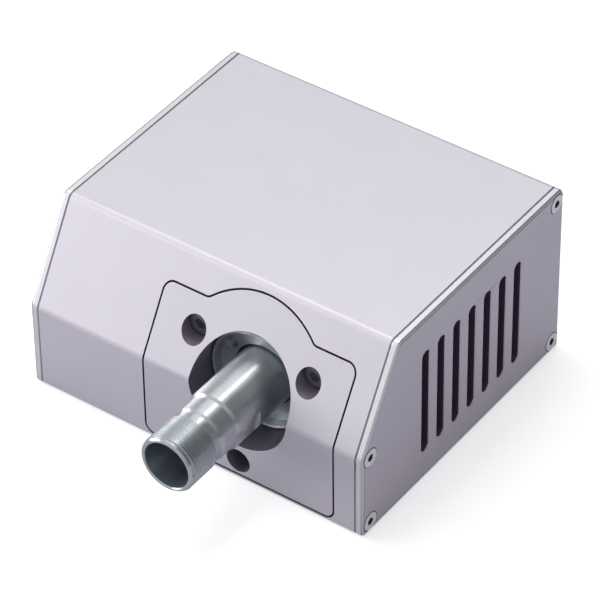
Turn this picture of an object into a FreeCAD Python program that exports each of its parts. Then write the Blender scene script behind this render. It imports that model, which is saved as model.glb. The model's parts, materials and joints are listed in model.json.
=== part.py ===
"""Spindle module: a wedge-fronted motor housing with a collet nose, as separate pieces.

Lengths are millimetres. X runs across the width, Y runs back from the front face, Z is up.
The origin is the middle of the four carriage threads in the mounting face, so the front face
lies half the depth in front of it. A depth measured back from the front face is a station.
"""
import FreeCAD, Part
import math
import os

import Sketcher

# Driving sizes, in millimetres and degrees.
SIZES = {
    # housing
    "width": 90.0,
    "depth": 77.4,
    "height": 45.6,
    "nose_height": 22.0,
    "slope_angle": 30.0,
    "wall": 1.6,
    "top_bend": 1.8,
    "front_bend": 3.0,
    "rear_bend": 1.5,
    "foot_bend": 0.8,
    "inner_bend": 0.5,
    "end_chamfer": 0.2,
    "plate_thickness": 2.0,
    "plate_chamfer": 0.5,
    "plate_screw_inset": 2.8,
    "port_radius": 2.6,
    # vent slots
    "slot_width": 2.7,
    "slot_height": 28.6,
    "slot_low": 7.9,
    "slot_first": 23.5,
    "slot_pitch": 5.95,
    "slot_count": 7,
    # mounting face
    "carriage_span_x": 50.0,
    "carriage_span_y": 26.0,
    "carriage_thread": 1.65,
    "insert_height": 5.2,
    "insert_end": 0.8,
    "insert_flange_thickness": 1.2,
    "insert_collar": 3.6,
    "insert_flange": 4.6,
    "insert_body": 3.2,
    # mount block
    "axis_x": 11.8,
    "axis_drop": 0.15,
    "block_half_width": 25.2,
    "block_lip": 0.25,
    "block_shoulder": 15.65,
    "arch_room": 3.35,
    "block_thickness": 16.0,
    "block_corner": 2.2,
    "block_valley": 2.2,
    "seam": 0.35,
    "circle_room": 3.5,
    "bore_room": 4.5,
    "counterbore": 3.1,
    "counterbore_seat": 10.8,
    # motor front cap
    "boss_gap": 0.45,
    "boss_front": 8.1,
    "rim_width": 0.6,
    "cap_face": 10.4,
    "cap_hole_radius": 1.5,
    "cap_hole_depth": 4.0,
    "flange_lip": 0.95,
    "flange_thickness": 5.5,
    "spigot_length": 6.0,
    # spindle shaft
    "nose_reach": 25.2,
    "nose_radius": 6.92,
    "nose_chamfer": 0.5,
    "nose_length": 8.8,
    "relief_radius": 6.3,
    "relief_length": 2.4,
    "pilot_radius": 6.7,
    "pilot_length": 4.4,
    "body_radius": 7.27,
    "step_length": 0.7,
    "flat_across": 13.0,
    "flat_length": 7.5,
    "flat_turn": -13.75,
    "collet_mouth": 5.75,
    "collet_depth": 13.5,
    "collet_angle": 8.0,
    "shank_bore": 3.6,
    "shank_depth": 28.0,
    "core_seat": 5.0,
    # front bearing
    "front_bore": 6.0,
    "front_outside": 14.0,
    "front_width": 8.0,
    "front_ball": 2.38,
    "front_balls": 8,
    "front_station": 17.2,
    # rear bearing
    "rear_bore": 4.0,
    "rear_outside": 11.0,
    "rear_width": 7.0,
    "rear_ball": 1.98,
    "rear_balls": 7,
    # bearing details
    "ball_clearance": 0.12,
    "shield_thickness": 0.3,
    "ring_thickness": 1.0,
    "circlip_reach": 1.8,
    "snap_ring_width": 2.3,
    "washer_thickness": 0.4,
    "washer_rise": 0.7,
    "washer_width": 2.2,
    "washer_inset": 0.4,
    # motor
    "can_radius": 17.5,
    "can_wall": 1.5,
    "spigot_wall": 1.5,
    "rear_room": 14.2,
    "magnet_thickness": 2.8,
    "magnet_angle": 136.0,
    "air_gap": 0.65,
    "core_slots": 7,
    "slot_radius": 2.3,
    "slot_circle": 9.4,
    "end_turn": 2.6,
    "commutator_radius": 6.8,
    "commutator_length": 5.0,
    "fan_radius": 12.5,
    "fan_depth": 3.4,
    "stack_gap": 0.6,
    "fan_blades": 9,
    "brush_width": 4.0,
    "brush_height": 3.2,
    "brush_length": 4.0,
    "holder_wall": 0.6,
    "holder_gap": 0.45,
    "spring_wire": 0.2,
    "spring_radius": 1.1,
    "rear_plate": 1.8,
    "terminal_radius": 15.0,
    # electronics
    "board_side_gap": 3.0,
    "board_rear_gap": 1.8,
    "board_width": 29.0,
    "board_thickness": 1.6,
    "standoff_height": 6.0,
    "standoff_radius": 2.4,
    "board_hole_inset": 3.0,
    "board_hole": 1.3,
    "piece_gap": 0.7,
    "sink_inset": 6.0,
    "sink_length": 19.0,
    "sink_width": 8.0,
    "sink_height": 9.0,
    "sink_base": 2.0,
    "fin_thickness": 1.2,
    "fin_count": 5,
    "package_width": 6.0,
    "package_height": 3.0,
    "capacitor_radius": 5.0,
    "capacitor_height": 16.0,
    "capacitor_inset": 1.5,
    "choke_ring": 4.0,
    "choke_winding": 2.2,
    "choke_inset": 10.5,
    "terminal_width": 8.0,
    "terminal_length": 11.0,
    "terminal_height": 10.0,
    "terminal_inset": 1.0,
    "terminal_well": 1.5,
    "terminal_pitch": 4.0,
    "lead_entry": 4.0,
    "lead_bend": 5.0,
    "tab_length": 5.0,
    "tab_width": 2.8,
    "tab_thickness": 0.5,
    "socket_inset": 10.0,
    "socket_width": 13.0,
    "socket_height": 8.0,
    "socket_depth": 9.0,
    "socket_screw_offset": 9.1,
    "socket_screw_shank": 1.25,
    "contact_radius": 0.5,
    "contact_pitch": 2.8,
    "contact_columns": 4,
    "lead_radius": 0.65,
    # fasteners
    "plate_head": 2.4,
    "plate_shank": 1.25,
    "plate_head_height": 1.3,
    "screw_tip_room": 0.65,
    "plate_key": 1.5,
    "base_head": 2.8,
    "base_shank": 1.5,
    "base_head_height": 1.5,
    "base_screw": 9.0,
    "base_key": 2.0,
    "base_screw_offset": 18.0,
    "base_screw_station": 9.0,
    "cap_head": 2.75,
    "cap_head_height": 3.0,
    "cap_shank": 1.5,
    "cap_screw": 10.0,
    "cap_key": 2.5,
    "board_screw_head": 2.2,
    "board_screw_head_height": 1.6,
    "board_screw": 7.1,
    "socket_screw_head": 2.2,
    "socket_screw_head_height": 1.4,
    "socket_screw": 4.0,
    "small_key": 1.5,
    "clearance": 0.05,
    "running_gap": 0.15,
}

EVERY_THIRD = (30.0, 150.0, 270.0)
SIDES = {"left": -1, "right": 1}


class Size:
    """A length that knows its value and the sheet expression it comes from."""

    def __init__(self, value, text):
        self.value = float(value)
        self.text = text

    def __add__(self, other):
        other = as_size(other)
        return Size(self.value + other.value, f"({self.text} + {other.text})")

    def __sub__(self, other):
        other = as_size(other)
        return Size(self.value - other.value, f"({self.text} - {other.text})")

    def __mul__(self, other):
        other = as_size(other)
        return Size(self.value * other.value, f"({self.text} * {other.text})")

    def __truediv__(self, other):
        other = as_size(other)
        return Size(self.value / other.value, f"({self.text} / {other.text})")

    def __radd__(self, other):
        return as_size(other) + self

    def __rsub__(self, other):
        return as_size(other) - self

    def __rmul__(self, other):
        return as_size(other) * self

    def __rtruediv__(self, other):
        return as_size(other) / self

    def __neg__(self):
        return Size(-self.value, f"(0 - {self.text})")


def as_size(number):
    """A plain number as a Size, or the Size itself."""
    if isinstance(number, Size):
        return number
    return Size(number, f"{number:.6g}" if number >= 0 else f"(0 - {-number:.6g})")


def sine(angle):
    angle = as_size(angle)
    return Size(math.sin(math.radians(angle.value)), f"sin({angle.text})")


def cosine(angle):
    angle = as_size(angle)
    return Size(math.cos(math.radians(angle.value)), f"cos({angle.text})")


def tangent(angle):
    angle = as_size(angle)
    return Size(math.tan(math.radians(angle.value)), f"tan({angle.text})")


class Sheet:
    """The spreadsheet of driving sizes; each alias is also an attribute that holds a Size."""

    def __init__(self, document, sizes):
        cells = document.addObject("Spreadsheet::Sheet", "Sizes")
        for row, (alias, value) in enumerate(sizes.items(), start=1):
            cells.set(f"A{row}", alias)
            cells.set(f"B{row}", str(value))
            cells.setAlias(f"B{row}", alias)
            setattr(self, alias, Size(value, f"Sizes.{alias}"))


doc = FreeCAD.newDocument("SpindleModule")
size = Sheet(doc, SIZES)
doc.recompute()

front = -size.depth / 2
rear = size.depth / 2
half_width = size.width / 2
plate_face = half_width - size.plate_thickness
slope_run = (size.height - size.nose_height) * tangent(size.slope_angle)

# The spindle lies just under mid-height, and what surrounds it keeps clear of floor and roof.
axis_z = size.height / 2 - size.axis_drop
cap_screw_circle = axis_z - size.wall - size.circle_room
flange_radius = cap_screw_circle + size.cap_shank + size.flange_lip
block_bore = cap_screw_circle - size.bore_room
boss_radius = block_bore - size.boss_gap
block_arch = cap_screw_circle + size.arch_room
shoulder_z = axis_z + size.block_shoulder

# The plate screws stop short of the block, which lies nearer to the right plate.
block_room = plate_face - size.axis_x - size.block_half_width - size.seam
plate_screw = size.plate_thickness + 0.8 * (block_room - size.screw_tip_room)

# Placing and binding

TURNS = {
    "z": FreeCAD.Rotation(),
    "-z": FreeCAD.Rotation(FreeCAD.Vector(1, 0, 0), 180),
    "y": FreeCAD.Rotation(FreeCAD.Vector(1, 0, 0), -90),
    "-y": FreeCAD.Rotation(FreeCAD.Vector(1, 0, 0), 90),
    "x": FreeCAD.Rotation(FreeCAD.Vector(0, 1, 0), 90),
    "-x": FreeCAD.Rotation(FreeCAD.Vector(0, 1, 0), -90),
}


def bind(thing, name, value):
    """Sets a property of a document object from a Size."""
    thing.setExpression(name, as_size(value).text)


def place(thing, at, along="z", turn=0.0):
    """Turns a piece about its own Z, points that Z along an axis and puts its origin at a place."""
    about_axis = FreeCAD.Rotation(FreeCAD.Vector(0, 0, 1), turn)
    thing.Placement = FreeCAD.Placement(FreeCAD.Vector(), TURNS[along].multiply(about_axis))
    for axis, value in zip("xyz", at):
        bind(thing, f".Placement.Base.{axis}", value)
    return thing


def on_axis(station):
    """The point on the spindle axis at a depth behind the front face."""
    return (size.axis_x, front + station, axis_z)


def round_axis(radius, angle, station):
    """A point at a radius and angle about the spindle axis, seen from the front."""
    x, y, z = on_axis(station)
    return (x + radius * cosine(angle), y, z + radius * sine(angle))


# Solids from primitives

def block(name, low, high):
    """A box between two corners."""
    box = doc.addObject("Part::Box", name)
    for side, start, end in zip(("Length", "Width", "Height"), low, high):
        bind(box, side, as_size(end) - as_size(start))
    return place(box, low)


def rod(name, radius, length, at, along="y"):
    """A cylinder that starts at a point and runs along an axis."""
    cylinder = doc.addObject("Part::Cylinder", name)
    bind(cylinder, "Radius", radius)
    bind(cylinder, "Height", length)
    return place(cylinder, at, along)


def cone(name, start_radius, end_radius, length, at, along="y"):
    """A cone frustum that starts at a point and runs along an axis."""
    frustum = doc.addObject("Part::Cone", name)
    bind(frustum, "Radius1", start_radius)
    bind(frustum, "Radius2", end_radius)
    bind(frustum, "Height", length)
    return place(frustum, at, along)


def hexagon(name, across, length, at, along="y"):
    """A six-sided bar of a width across flats."""
    bar = doc.addObject("Part::Prism", name)
    bar.Polygon = 6
    bind(bar, "Circumradius", as_size(across) / math.sqrt(3))
    bind(bar, "Height", length)
    return place(bar, at, along)


def ball(name, radius, at):
    """A sphere whose poles point along Y."""
    sphere = doc.addObject("Part::Sphere", name)
    bind(sphere, "Radius", radius)
    return place(sphere, at, "y", turn=20)


def fuse(name, *pieces):
    joined = doc.addObject("Part::MultiFuse", name)
    joined.Shapes = list(pieces)
    joined.Refine = True
    return joined


def cut(name, base, *tools):
    """A base less one or more tools."""
    result = doc.addObject("Part::Cut", name)
    result.Base = base
    result.Tool = tools[0] if len(tools) == 1 else fuse(name + "_tools", *tools)
    return result


def common(name, *pieces):
    shared = doc.addObject("Part::MultiCommon", name)
    shared.Shapes = list(pieces)
    return shared


def group(name, pieces):
    """Separate solids that share one name."""
    together = doc.addObject("Part::Compound", name)
    together.Links = list(pieces)
    return together


# Sketched bodies

def origin_plane(body, role):
    return next(plane for plane in body.Origin.OriginFeatures if plane.Role == role)


def new_sketch(body, role, name):
    sketch = body.newObject("Sketcher::SketchObject", name)
    sketch.AttachmentSupport = [(origin_plane(body, role), "")]
    sketch.MapMode = "FlatFace"
    return sketch


def constrain(sketch, kind, *arguments, value=None):
    """Adds a constraint; one with a value is bound to the sheet."""
    if value is None:
        sketch.addConstraint(Sketcher.Constraint(kind, *arguments))
        return
    index = sketch.addConstraint(Sketcher.Constraint(kind, *arguments, value.value))
    sketch.setExpression(f"Constraints[{index}]", value.text)


def arc_at_corner(before, corner, after, radius):
    """Where a round of a radius leaves and meets the two lines of a corner, and its centre."""
    towards_before = (before - corner).normalize()
    towards_after = (after - corner).normalize()
    half_angle = towards_before.getAngle(towards_after) / 2
    reach = radius / math.tan(half_angle)
    middle = (towards_before + towards_after).normalize()
    centre = corner + middle * (radius / math.sin(half_angle))
    return corner + towards_before * reach, corner + towards_after * reach, centre


def draw_outline(sketch, corners):
    """Draws a closed outline from (across, up, round) corners, with each round None or a Size."""
    across = [as_size(corner[0]) for corner in corners]
    up = [as_size(corner[1]) for corner in corners]
    rounds = [corner[2] if len(corner) > 2 else None for corner in corners]
    points = [FreeCAD.Vector(u.value, w.value, 0) for u, w in zip(across, up)]
    count = len(points)
    arrive, leave, centres = list(points), list(points), [None] * count
    for i, radius in enumerate(rounds):
        if radius is not None:
            before, after = points[i - 1], points[(i + 1) % count]
            arrive[i], leave[i], centres[i] = arc_at_corner(before, points[i], after, radius.value)
    lines = [sketch.addGeometry(Part.LineSegment(leave[i], arrive[(i + 1) % count]))
             for i in range(count)]
    for i, radius in enumerate(rounds):
        incoming, outgoing = lines[i - 1], lines[i]
        if radius is None:
            constrain(sketch, "Coincident", incoming, 2, outgoing, 1)
            constrain(sketch, "DistanceX", outgoing, 1, value=across[i])
            constrain(sketch, "DistanceY", outgoing, 1, value=up[i])
            continue
        draw_round(sketch, points[i], (across[i], up[i], radius), (incoming, outgoing),
                   (arrive[i], leave[i], centres[i]))


def draw_round(sketch, point, corner, lines, ends):
    """Draws one rounded corner between two lines and binds it to its sharp corner."""
    arrive, leave, centre = ends
    incoming, outgoing = lines
    start_angle = math.atan2(arrive.y - centre.y, arrive.x - centre.x)
    end_angle = math.atan2(leave.y - centre.y, leave.x - centre.x)
    anticlockwise = (end_angle - start_angle) % (2 * math.pi) < math.pi
    angles = (start_angle, end_angle) if anticlockwise else (end_angle, start_angle)
    circle = Part.Circle(centre, FreeCAD.Vector(0, 0, 1), corner[2].value)
    arc = sketch.addGeometry(Part.ArcOfCircle(circle, *angles))
    sharp = sketch.addGeometry(Part.Point(point), True)
    constrain(sketch, "Tangent", incoming, 2, arc, 1 if anticlockwise else 2)
    constrain(sketch, "Tangent", arc, 2 if anticlockwise else 1, outgoing, 1)
    constrain(sketch, "Radius", arc, value=corner[2])
    constrain(sketch, "DistanceX", sharp, 1, value=corner[0])
    constrain(sketch, "DistanceY", sharp, 1, value=corner[1])
    constrain(sketch, "PointOnObject", sharp, 1, incoming)
    constrain(sketch, "PointOnObject", sharp, 1, outgoing)


def new_body(name):
    body = doc.addObject("PartDesign::Body", name)
    doc.recompute()
    return body


def pad(body, sketch, length, symmetric=False, reverse=False):
    feature = body.newObject("PartDesign::Pad", sketch.Name + "_pad")
    feature.Profile = sketch
    feature.Midplane = symmetric
    feature.Reversed = reverse
    bind(feature, "Length", length)
    body.Tip = feature
    return feature


def turned(name, profile, at=None, along="y", turn=0.0, angle=360):
    """A piece turned from a half section of (radius, station) corners about its own Z axis."""
    body = new_body(name)
    sketch = new_sketch(body, "XZ_Plane", name + "_section")
    draw_outline(sketch, profile)
    feature = body.newObject("PartDesign::Revolution", name + "_turn")
    feature.Profile = sketch
    feature.ReferenceAxis = (sketch, ["V_Axis"])
    feature.Midplane = True
    bind(feature, "Angle", angle)
    body.Tip = feature
    return place(body, at or on_axis(0), along, turn)


def tube(inner, outer, start, end):
    """The half section of a plain ring between two stations."""
    return [(inner, start), (outer, start), (outer, end), (inner, end)]


def edges_where(feature, test):
    """Names of a feature's edges that pass a test."""
    doc.recompute()
    return [f"Edge{i}" for i, edge in enumerate(feature.Shape.Edges, start=1) if test(edge)]


def all_ends(edge, test):
    return all(test(vertex.Point) for vertex in edge.Vertexes)


# The wedge profile

def housing_profile(inset=None):
    """Corners of the wedge section, anticlockwise from the foot, or of one inset by a wall."""
    gap = as_size(0) if inset is None else inset
    foot, bend, top, back = (
        (size.foot_bend, size.front_bend, size.top_bend, size.rear_bend)
        if inset is None else (size.inner_bend,) * 4)
    slope_half = tangent(size.slope_angle / 2)
    top_half = tangent((90 - size.slope_angle) / 2)
    return [
        (front + gap, gap, foot),
        (rear - gap, gap, foot),
        (rear - gap, size.height - gap, back),
        (front + slope_run + gap * top_half, size.height - gap, top),
        (front + gap, size.nose_height - gap * slope_half, bend),
    ]


def housing_prism(name, length, at_x=0, inset=None, end_chamfer=None, outer_ends="both"):
    """The wedge section as a prism along X, centred at a place across the width."""
    body = new_body(name)
    sketch = new_sketch(body, "YZ_Plane", name + "_section")
    draw_outline(sketch, housing_profile(inset))
    feature = pad(body, sketch, length, symmetric=True)
    if end_chamfer is not None:
        half = as_size(length).value / 2
        sides = {"both": (-1, 1), "left": (-1,), "right": (1,)}[outer_ends]

        def on_end(edge):
            return any(all_ends(edge, lambda p: abs(p.x - side * half) < 1e-5) for side in sides)

        edges = edges_where(feature, on_end)
        chamfer = body.newObject("PartDesign::Chamfer", name + "_chamfer")
        chamfer.Base = (feature, edges)
        bind(chamfer, "Size", end_chamfer)
        body.Tip = chamfer
    return place(body, (at_x, 0, 0))


# Fasteners

def countersunk_hole(name, head, shank, head_height, length, at, along):
    """The hole for a countersunk screw, from its head face inwards."""
    return fuse(name, cone(name + "_head", head, shank, head_height, at, along),
                rod(name + "_shank", shank, length, at, along))


def countersunk_screw(name, head, shank, head_height, length, socket, at, along):
    """A countersunk screw with a hex socket; it points inwards from its head face."""
    solid = countersunk_hole(name + "_solid", head, shank, head_height, length, at, along)
    return cut(name, solid, hexagon(name + "_socket", socket, head_height * 0.8, at, along))


def screw_ports():
    """Where the plate screws sit: (label, y, z), a fixed inset from the wedge's corners."""
    inset = size.plate_screw_inset
    return [
        ("foot", front + inset, inset),
        ("brow", front + inset, size.nose_height - size.plate_screw_inset / 4),
        ("heel", rear - inset, inset),
        ("crown", rear - inset, size.height - inset),
    ]


def side_plate(side):
    """An end plate with vent slots and four countersunk holes."""
    name, sign = f"{side}_side_plate", SIDES[side]
    centre = sign * (half_width - size.plate_thickness / 2)
    plate = housing_prism(name + "_blank", size.plate_thickness, centre,
                          end_chamfer=size.plate_chamfer, outer_ends=side)
    tools = [vent_slot(f"{name}_slot{i}", i, sign) for i in range(int(size.slot_count.value))]
    for label, y, z in screw_ports():
        tools.append(countersunk_hole(
            f"{name}_{label}_hole", size.plate_head, size.plate_shank + size.clearance,
            size.plate_head_height, size.plate_thickness + 1, (sign * half_width, y, z),
            "-x" if sign > 0 else "x"))
    return cut(name, plate, *tools)


def vent_slot(name, index, sign):
    """One upright slot with round ends, right through a side plate."""
    y = front + size.slot_first + size.slot_pitch * index
    radius = size.slot_width / 2
    low = size.slot_low + radius
    high = size.slot_low + size.slot_height - radius
    start = sign * half_width - (size.plate_thickness + 1 if sign > 0 else as_size(1))
    depth = size.plate_thickness + 2
    return fuse(name,
                block(name + "_middle", (start, y - radius, low), (start + depth, y + radius, high)),
                rod(name + "_low", radius, depth, (start, y, low), "x"),
                rod(name + "_high", radius, depth, (start, y, high), "x"))


def plate_screws(side):
    name, sign = f"{side}_plate_screws", SIDES[side]
    along = "-x" if sign > 0 else "x"
    return group(name, [
        countersunk_screw(f"{name}_{label}", size.plate_head - size.clearance, size.plate_shank,
                          size.plate_head_height, plate_screw, size.plate_key,
                          (sign * half_width, y, z), along)
        for label, y, z in screw_ports()])


# Mount block and the opening that it fills

def arched_prism(name, gap, length, start):
    """The block's front outline grown by a gap, as a prism back from a station."""
    body = new_body(name)
    left, right = size.axis_x - size.block_half_width, size.axis_x + size.block_half_width
    foot = size.wall - size.block_lip
    base = new_sketch(body, "XZ_Plane", name + "_shoulders")
    corner = size.block_corner + gap
    draw_outline(base, [
        (left - gap, foot - gap, corner), (right + gap, foot - gap, corner),
        (right + gap, shoulder_z + gap, corner), (left - gap, shoulder_z + gap, corner)])
    pad(body, base, length, reverse=True)
    arch = new_sketch(body, "XZ_Plane", name + "_arch")
    centre = FreeCAD.Vector(size.axis_x.value, axis_z.value, 0)
    radius = block_arch + gap
    circle = arch.addGeometry(Part.Circle(centre, FreeCAD.Vector(0, 0, 1), radius.value))
    constrain(arch, "DistanceX", circle, 3, value=size.axis_x)
    constrain(arch, "DistanceY", circle, 3, value=axis_z)
    constrain(arch, "Radius", circle, value=radius)
    feature = pad(body, arch, length, reverse=True)
    shoulder = (shoulder_z + gap).value

    def in_valley(edge):
        level = all_ends(edge, lambda p: abs(p.z - shoulder) < 1e-4)
        inside = all_ends(edge, lambda p: abs(p.x - size.axis_x.value) < radius.value)
        runs_back = abs(edge.Vertexes[0].Point.y - edge.Vertexes[-1].Point.y) > 1
        return level and inside and runs_back

    fillet = body.newObject("PartDesign::Fillet", name + "_valleys")
    fillet.Base = (feature, edges_where(feature, in_valley))
    bind(fillet, "Radius", size.block_valley - gap)
    body.Tip = fillet
    return place(body, (0, front + start, 0))


def base_screw_places():
    return [(side, (size.axis_x + sign * size.base_screw_offset, front + size.base_screw_station, 0))
            for side, sign in SIDES.items()]


def mount_block():
    """The arch-topped block: flush with the wedge in front, bored for the motor's boss."""
    outline = arched_prism("block_outline", as_size(0), size.block_thickness, 0)
    wedge = housing_prism("block_wedge", size.width)
    bore = rod("block_bore", block_bore, size.block_thickness + 2, on_axis(-1))
    floor_step = block(
        "block_floor_step",
        (-half_width, front + size.wall + size.seam, -1),
        (half_width, front + size.block_thickness + 1, size.wall))
    tools = [bore, floor_step]
    for angle in EVERY_THIRD:
        label = f"block_screw{angle:.0f}"
        tools.append(rod(label + "_counterbore", size.counterbore, size.counterbore_seat + 1,
                         round_axis(cap_screw_circle, angle, -1)))
        tools.append(rod(label + "_hole", size.cap_shank + 2 * size.clearance,
                         size.block_thickness + 2, round_axis(cap_screw_circle, angle, -1)))
    for side, at in base_screw_places():
        tools.append(rod(f"block_{side}_thread", size.base_shank + size.clearance,
                         size.base_screw + 1, at, "z"))
    return cut("spindle_mount_block", common("block_flush", outline, wedge), *tools)


def cap_screw(name, at):
    """A socket-head screw from the top of its head, pointing back along Y."""
    x, y, z = at
    solid = fuse(name + "_solid",
                 rod(name + "_head", size.cap_head, size.cap_head_height, at),
                 rod(name + "_shank", size.cap_shank, size.cap_head_height + size.cap_screw, at))
    return cut(name, solid, hexagon(name + "_socket", size.cap_key, size.cap_head_height * 0.55, at))


def block_cap_screws():
    head_top = size.counterbore_seat - size.cap_head_height
    return group("block_cap_screws", [
        cap_screw(f"cap_screw{angle:.0f}", round_axis(cap_screw_circle, angle, head_top))
        for angle in EVERY_THIRD])


def block_base_screws():
    return group("block_base_screws", [
        countersunk_screw(f"base_screw_{side}", size.base_head - size.clearance, size.base_shank,
                          size.base_head_height, size.base_screw, size.base_key, at, "z")
        for side, at in base_screw_places()])


# Housing shell

board_left = size.board_side_gap - plate_face
board_right = board_left + size.board_width
board_rear = rear - size.wall - size.board_rear_gap
socket_x = board_left + size.socket_inset


def socket_centre_height():
    return size.wall + size.standoff_height + size.board_thickness + size.socket_height / 2


def carriage_places():
    return [(x * size.carriage_span_x / 2, y * size.carriage_span_y / 2, 0)
            for x in (-1, 1) for y in (-1, 1)]


def housing_shell():
    """The extruded body: wedge tube, screw ports, front opening, rear and floor holes."""
    length = 2 * plate_face
    skin = housing_prism("shell_skin", length, end_chamfer=size.end_chamfer)
    cavity = housing_prism("shell_cavity", length + 2, inset=size.wall)
    tube_wall = cut("shell_tube", skin, cavity)
    ports = [rod(f"shell_port_{label}", size.port_radius, length, (-plate_face, y, z), "x")
             for label, y, z in screw_ports()]
    body = fuse("shell_with_ports", tube_wall, *ports)
    opening = arched_prism("shell_opening", size.seam, size.wall + size.seam + 1, -1)
    inside = common(
        "shell_block_room",
        arched_prism("shell_block_space", size.seam, size.block_thickness + size.seam, 0),
        block("shell_above_floor", (-half_width, front - 1, size.wall),
              (half_width, rear, size.height)))
    tools = [opening, inside]
    for label, y, z in screw_ports():
        for side, sign in SIDES.items():
            tools.append(rod(f"shell_{side}_{label}_thread", size.plate_shank + size.clearance,
                             plate_screw - size.plate_thickness + 1, (sign * plate_face, y, z),
                             "-x" if sign > 0 else "x"))
    for i, (x, y, z) in enumerate(carriage_places()):
        tools.append(rod(f"shell_insert_hole{i}", size.insert_collar + size.clearance,
                         size.wall + 2, (x, y, z - 1), "z"))
    for side, at in base_screw_places():
        tools.append(countersunk_hole(
            f"shell_{side}_base_hole", size.base_head, size.base_shank + size.clearance,
            size.base_head_height, size.wall + 1, at, "z"))
    tools += socket_openings()
    return cut("housing_shell", body, *tools)


def socket_openings():
    """The rear wall's window for the cable socket and its two screw holes."""
    middle = socket_centre_height()
    half_w, half_h = size.socket_width / 2 + 0.2, size.socket_height / 2 + 0.2
    start = rear - size.wall - 1
    holes = [block("shell_socket_window", (socket_x - half_w, start, middle - half_h),
                   (socket_x + half_w, rear + 1, middle + half_h))]
    for side, sign in SIDES.items():
        holes.append(rod(f"shell_{side}_socket_hole", size.socket_screw_shank + size.clearance,
                         size.wall + 2, (socket_x + sign * size.socket_screw_offset, start, middle)))
    return holes


def carriage_inserts():
    """Pressed-in threads for the carriage screws, flush with the mounting face."""
    floor = size.wall
    flange_top = floor + size.insert_flange_thickness
    profile = [
        (size.carriage_thread, 0), (size.insert_collar, 0), (size.insert_collar, floor),
        (size.insert_flange, floor), (size.insert_flange, flange_top),
        (size.insert_body, flange_top), (size.insert_body, size.insert_height),
        (0, size.insert_height), (0, size.insert_height - size.insert_end),
        (size.carriage_thread, size.insert_height - size.insert_end)]
    return group("carriage_thread_inserts", [
        turned(f"carriage_insert{i}", profile, at=at, along="z")
        for i, at in enumerate(carriage_places())])


# Motor front cap and the front bearing's seat

pocket_end = size.front_station + size.front_width
groove_start = pocket_end + 0.1
flange_back = size.block_thickness + size.flange_thickness
spigot_end = flange_back + size.spigot_length
can_inside = size.can_radius - size.can_wall


def motor_front_cap():
    """Boss with a raised rim, flange for the block's screws, and spigot for the can."""
    hole = size.body_radius + 0.5
    rim = boss_radius - size.rim_width
    hole_circle = (hole + rim) / 2 + 0.2
    groove = size.front_outside + 0.9
    pocket = size.front_outside + size.clearance
    groove_end = groove_start + size.ring_thickness + 0.1
    blank = turned("front_cap_blank", [
        (hole, size.cap_face), (rim - 0.7, size.cap_face), (rim - 0.7, size.cap_face + 0.4),
        (rim, size.cap_face + 0.4), (rim, size.boss_front + 0.2), (rim + 0.2, size.boss_front),
        (boss_radius - 0.2, size.boss_front), (boss_radius, size.boss_front + 0.2),
        (boss_radius, size.block_thickness), (flange_radius, size.block_thickness),
        (flange_radius, flange_back), (can_inside - size.clearance, flange_back),
        (can_inside - size.clearance, spigot_end), (pocket, spigot_end), (pocket, groove_end),
        (groove, groove_end), (groove, groove_start), (pocket, groove_start),
        (pocket, size.front_station), (hole, size.front_station)])
    tools = []
    for angle in EVERY_THIRD:
        tools.append(rod(f"front_cap_hole{angle:.0f}", size.cap_hole_radius,
                         size.cap_hole_depth + 1,
                         round_axis(hole_circle, angle, size.cap_face - 1)))
        tools.append(rod(f"front_cap_thread{angle:.0f}", size.cap_shank + size.clearance,
                         size.flange_thickness + 2,
                         round_axis(cap_screw_circle, angle, size.block_thickness - 1)))
    return cut("motor_front_cap", blank, *tools)


# The motor's stack: the fan sits behind the cap, the rest is set back from the rear wall, and the
# core takes up what is left between them.
fan_start = spigot_end + 1.5 * size.stack_gap
fan_end = fan_start + size.fan_depth
can_end = size.depth - size.wall - size.rear_room
commutator_start = can_end - size.commutator_length + size.stack_gap
core_end = commutator_start - size.end_turn - size.stack_gap
core_start = fan_end + size.end_turn + size.stack_gap
core_length = core_end - core_start
core_radius = can_inside - size.clearance - size.magnet_thickness - size.air_gap
rear_station = can_end + size.rear_plate

# Ball bearings

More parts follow.
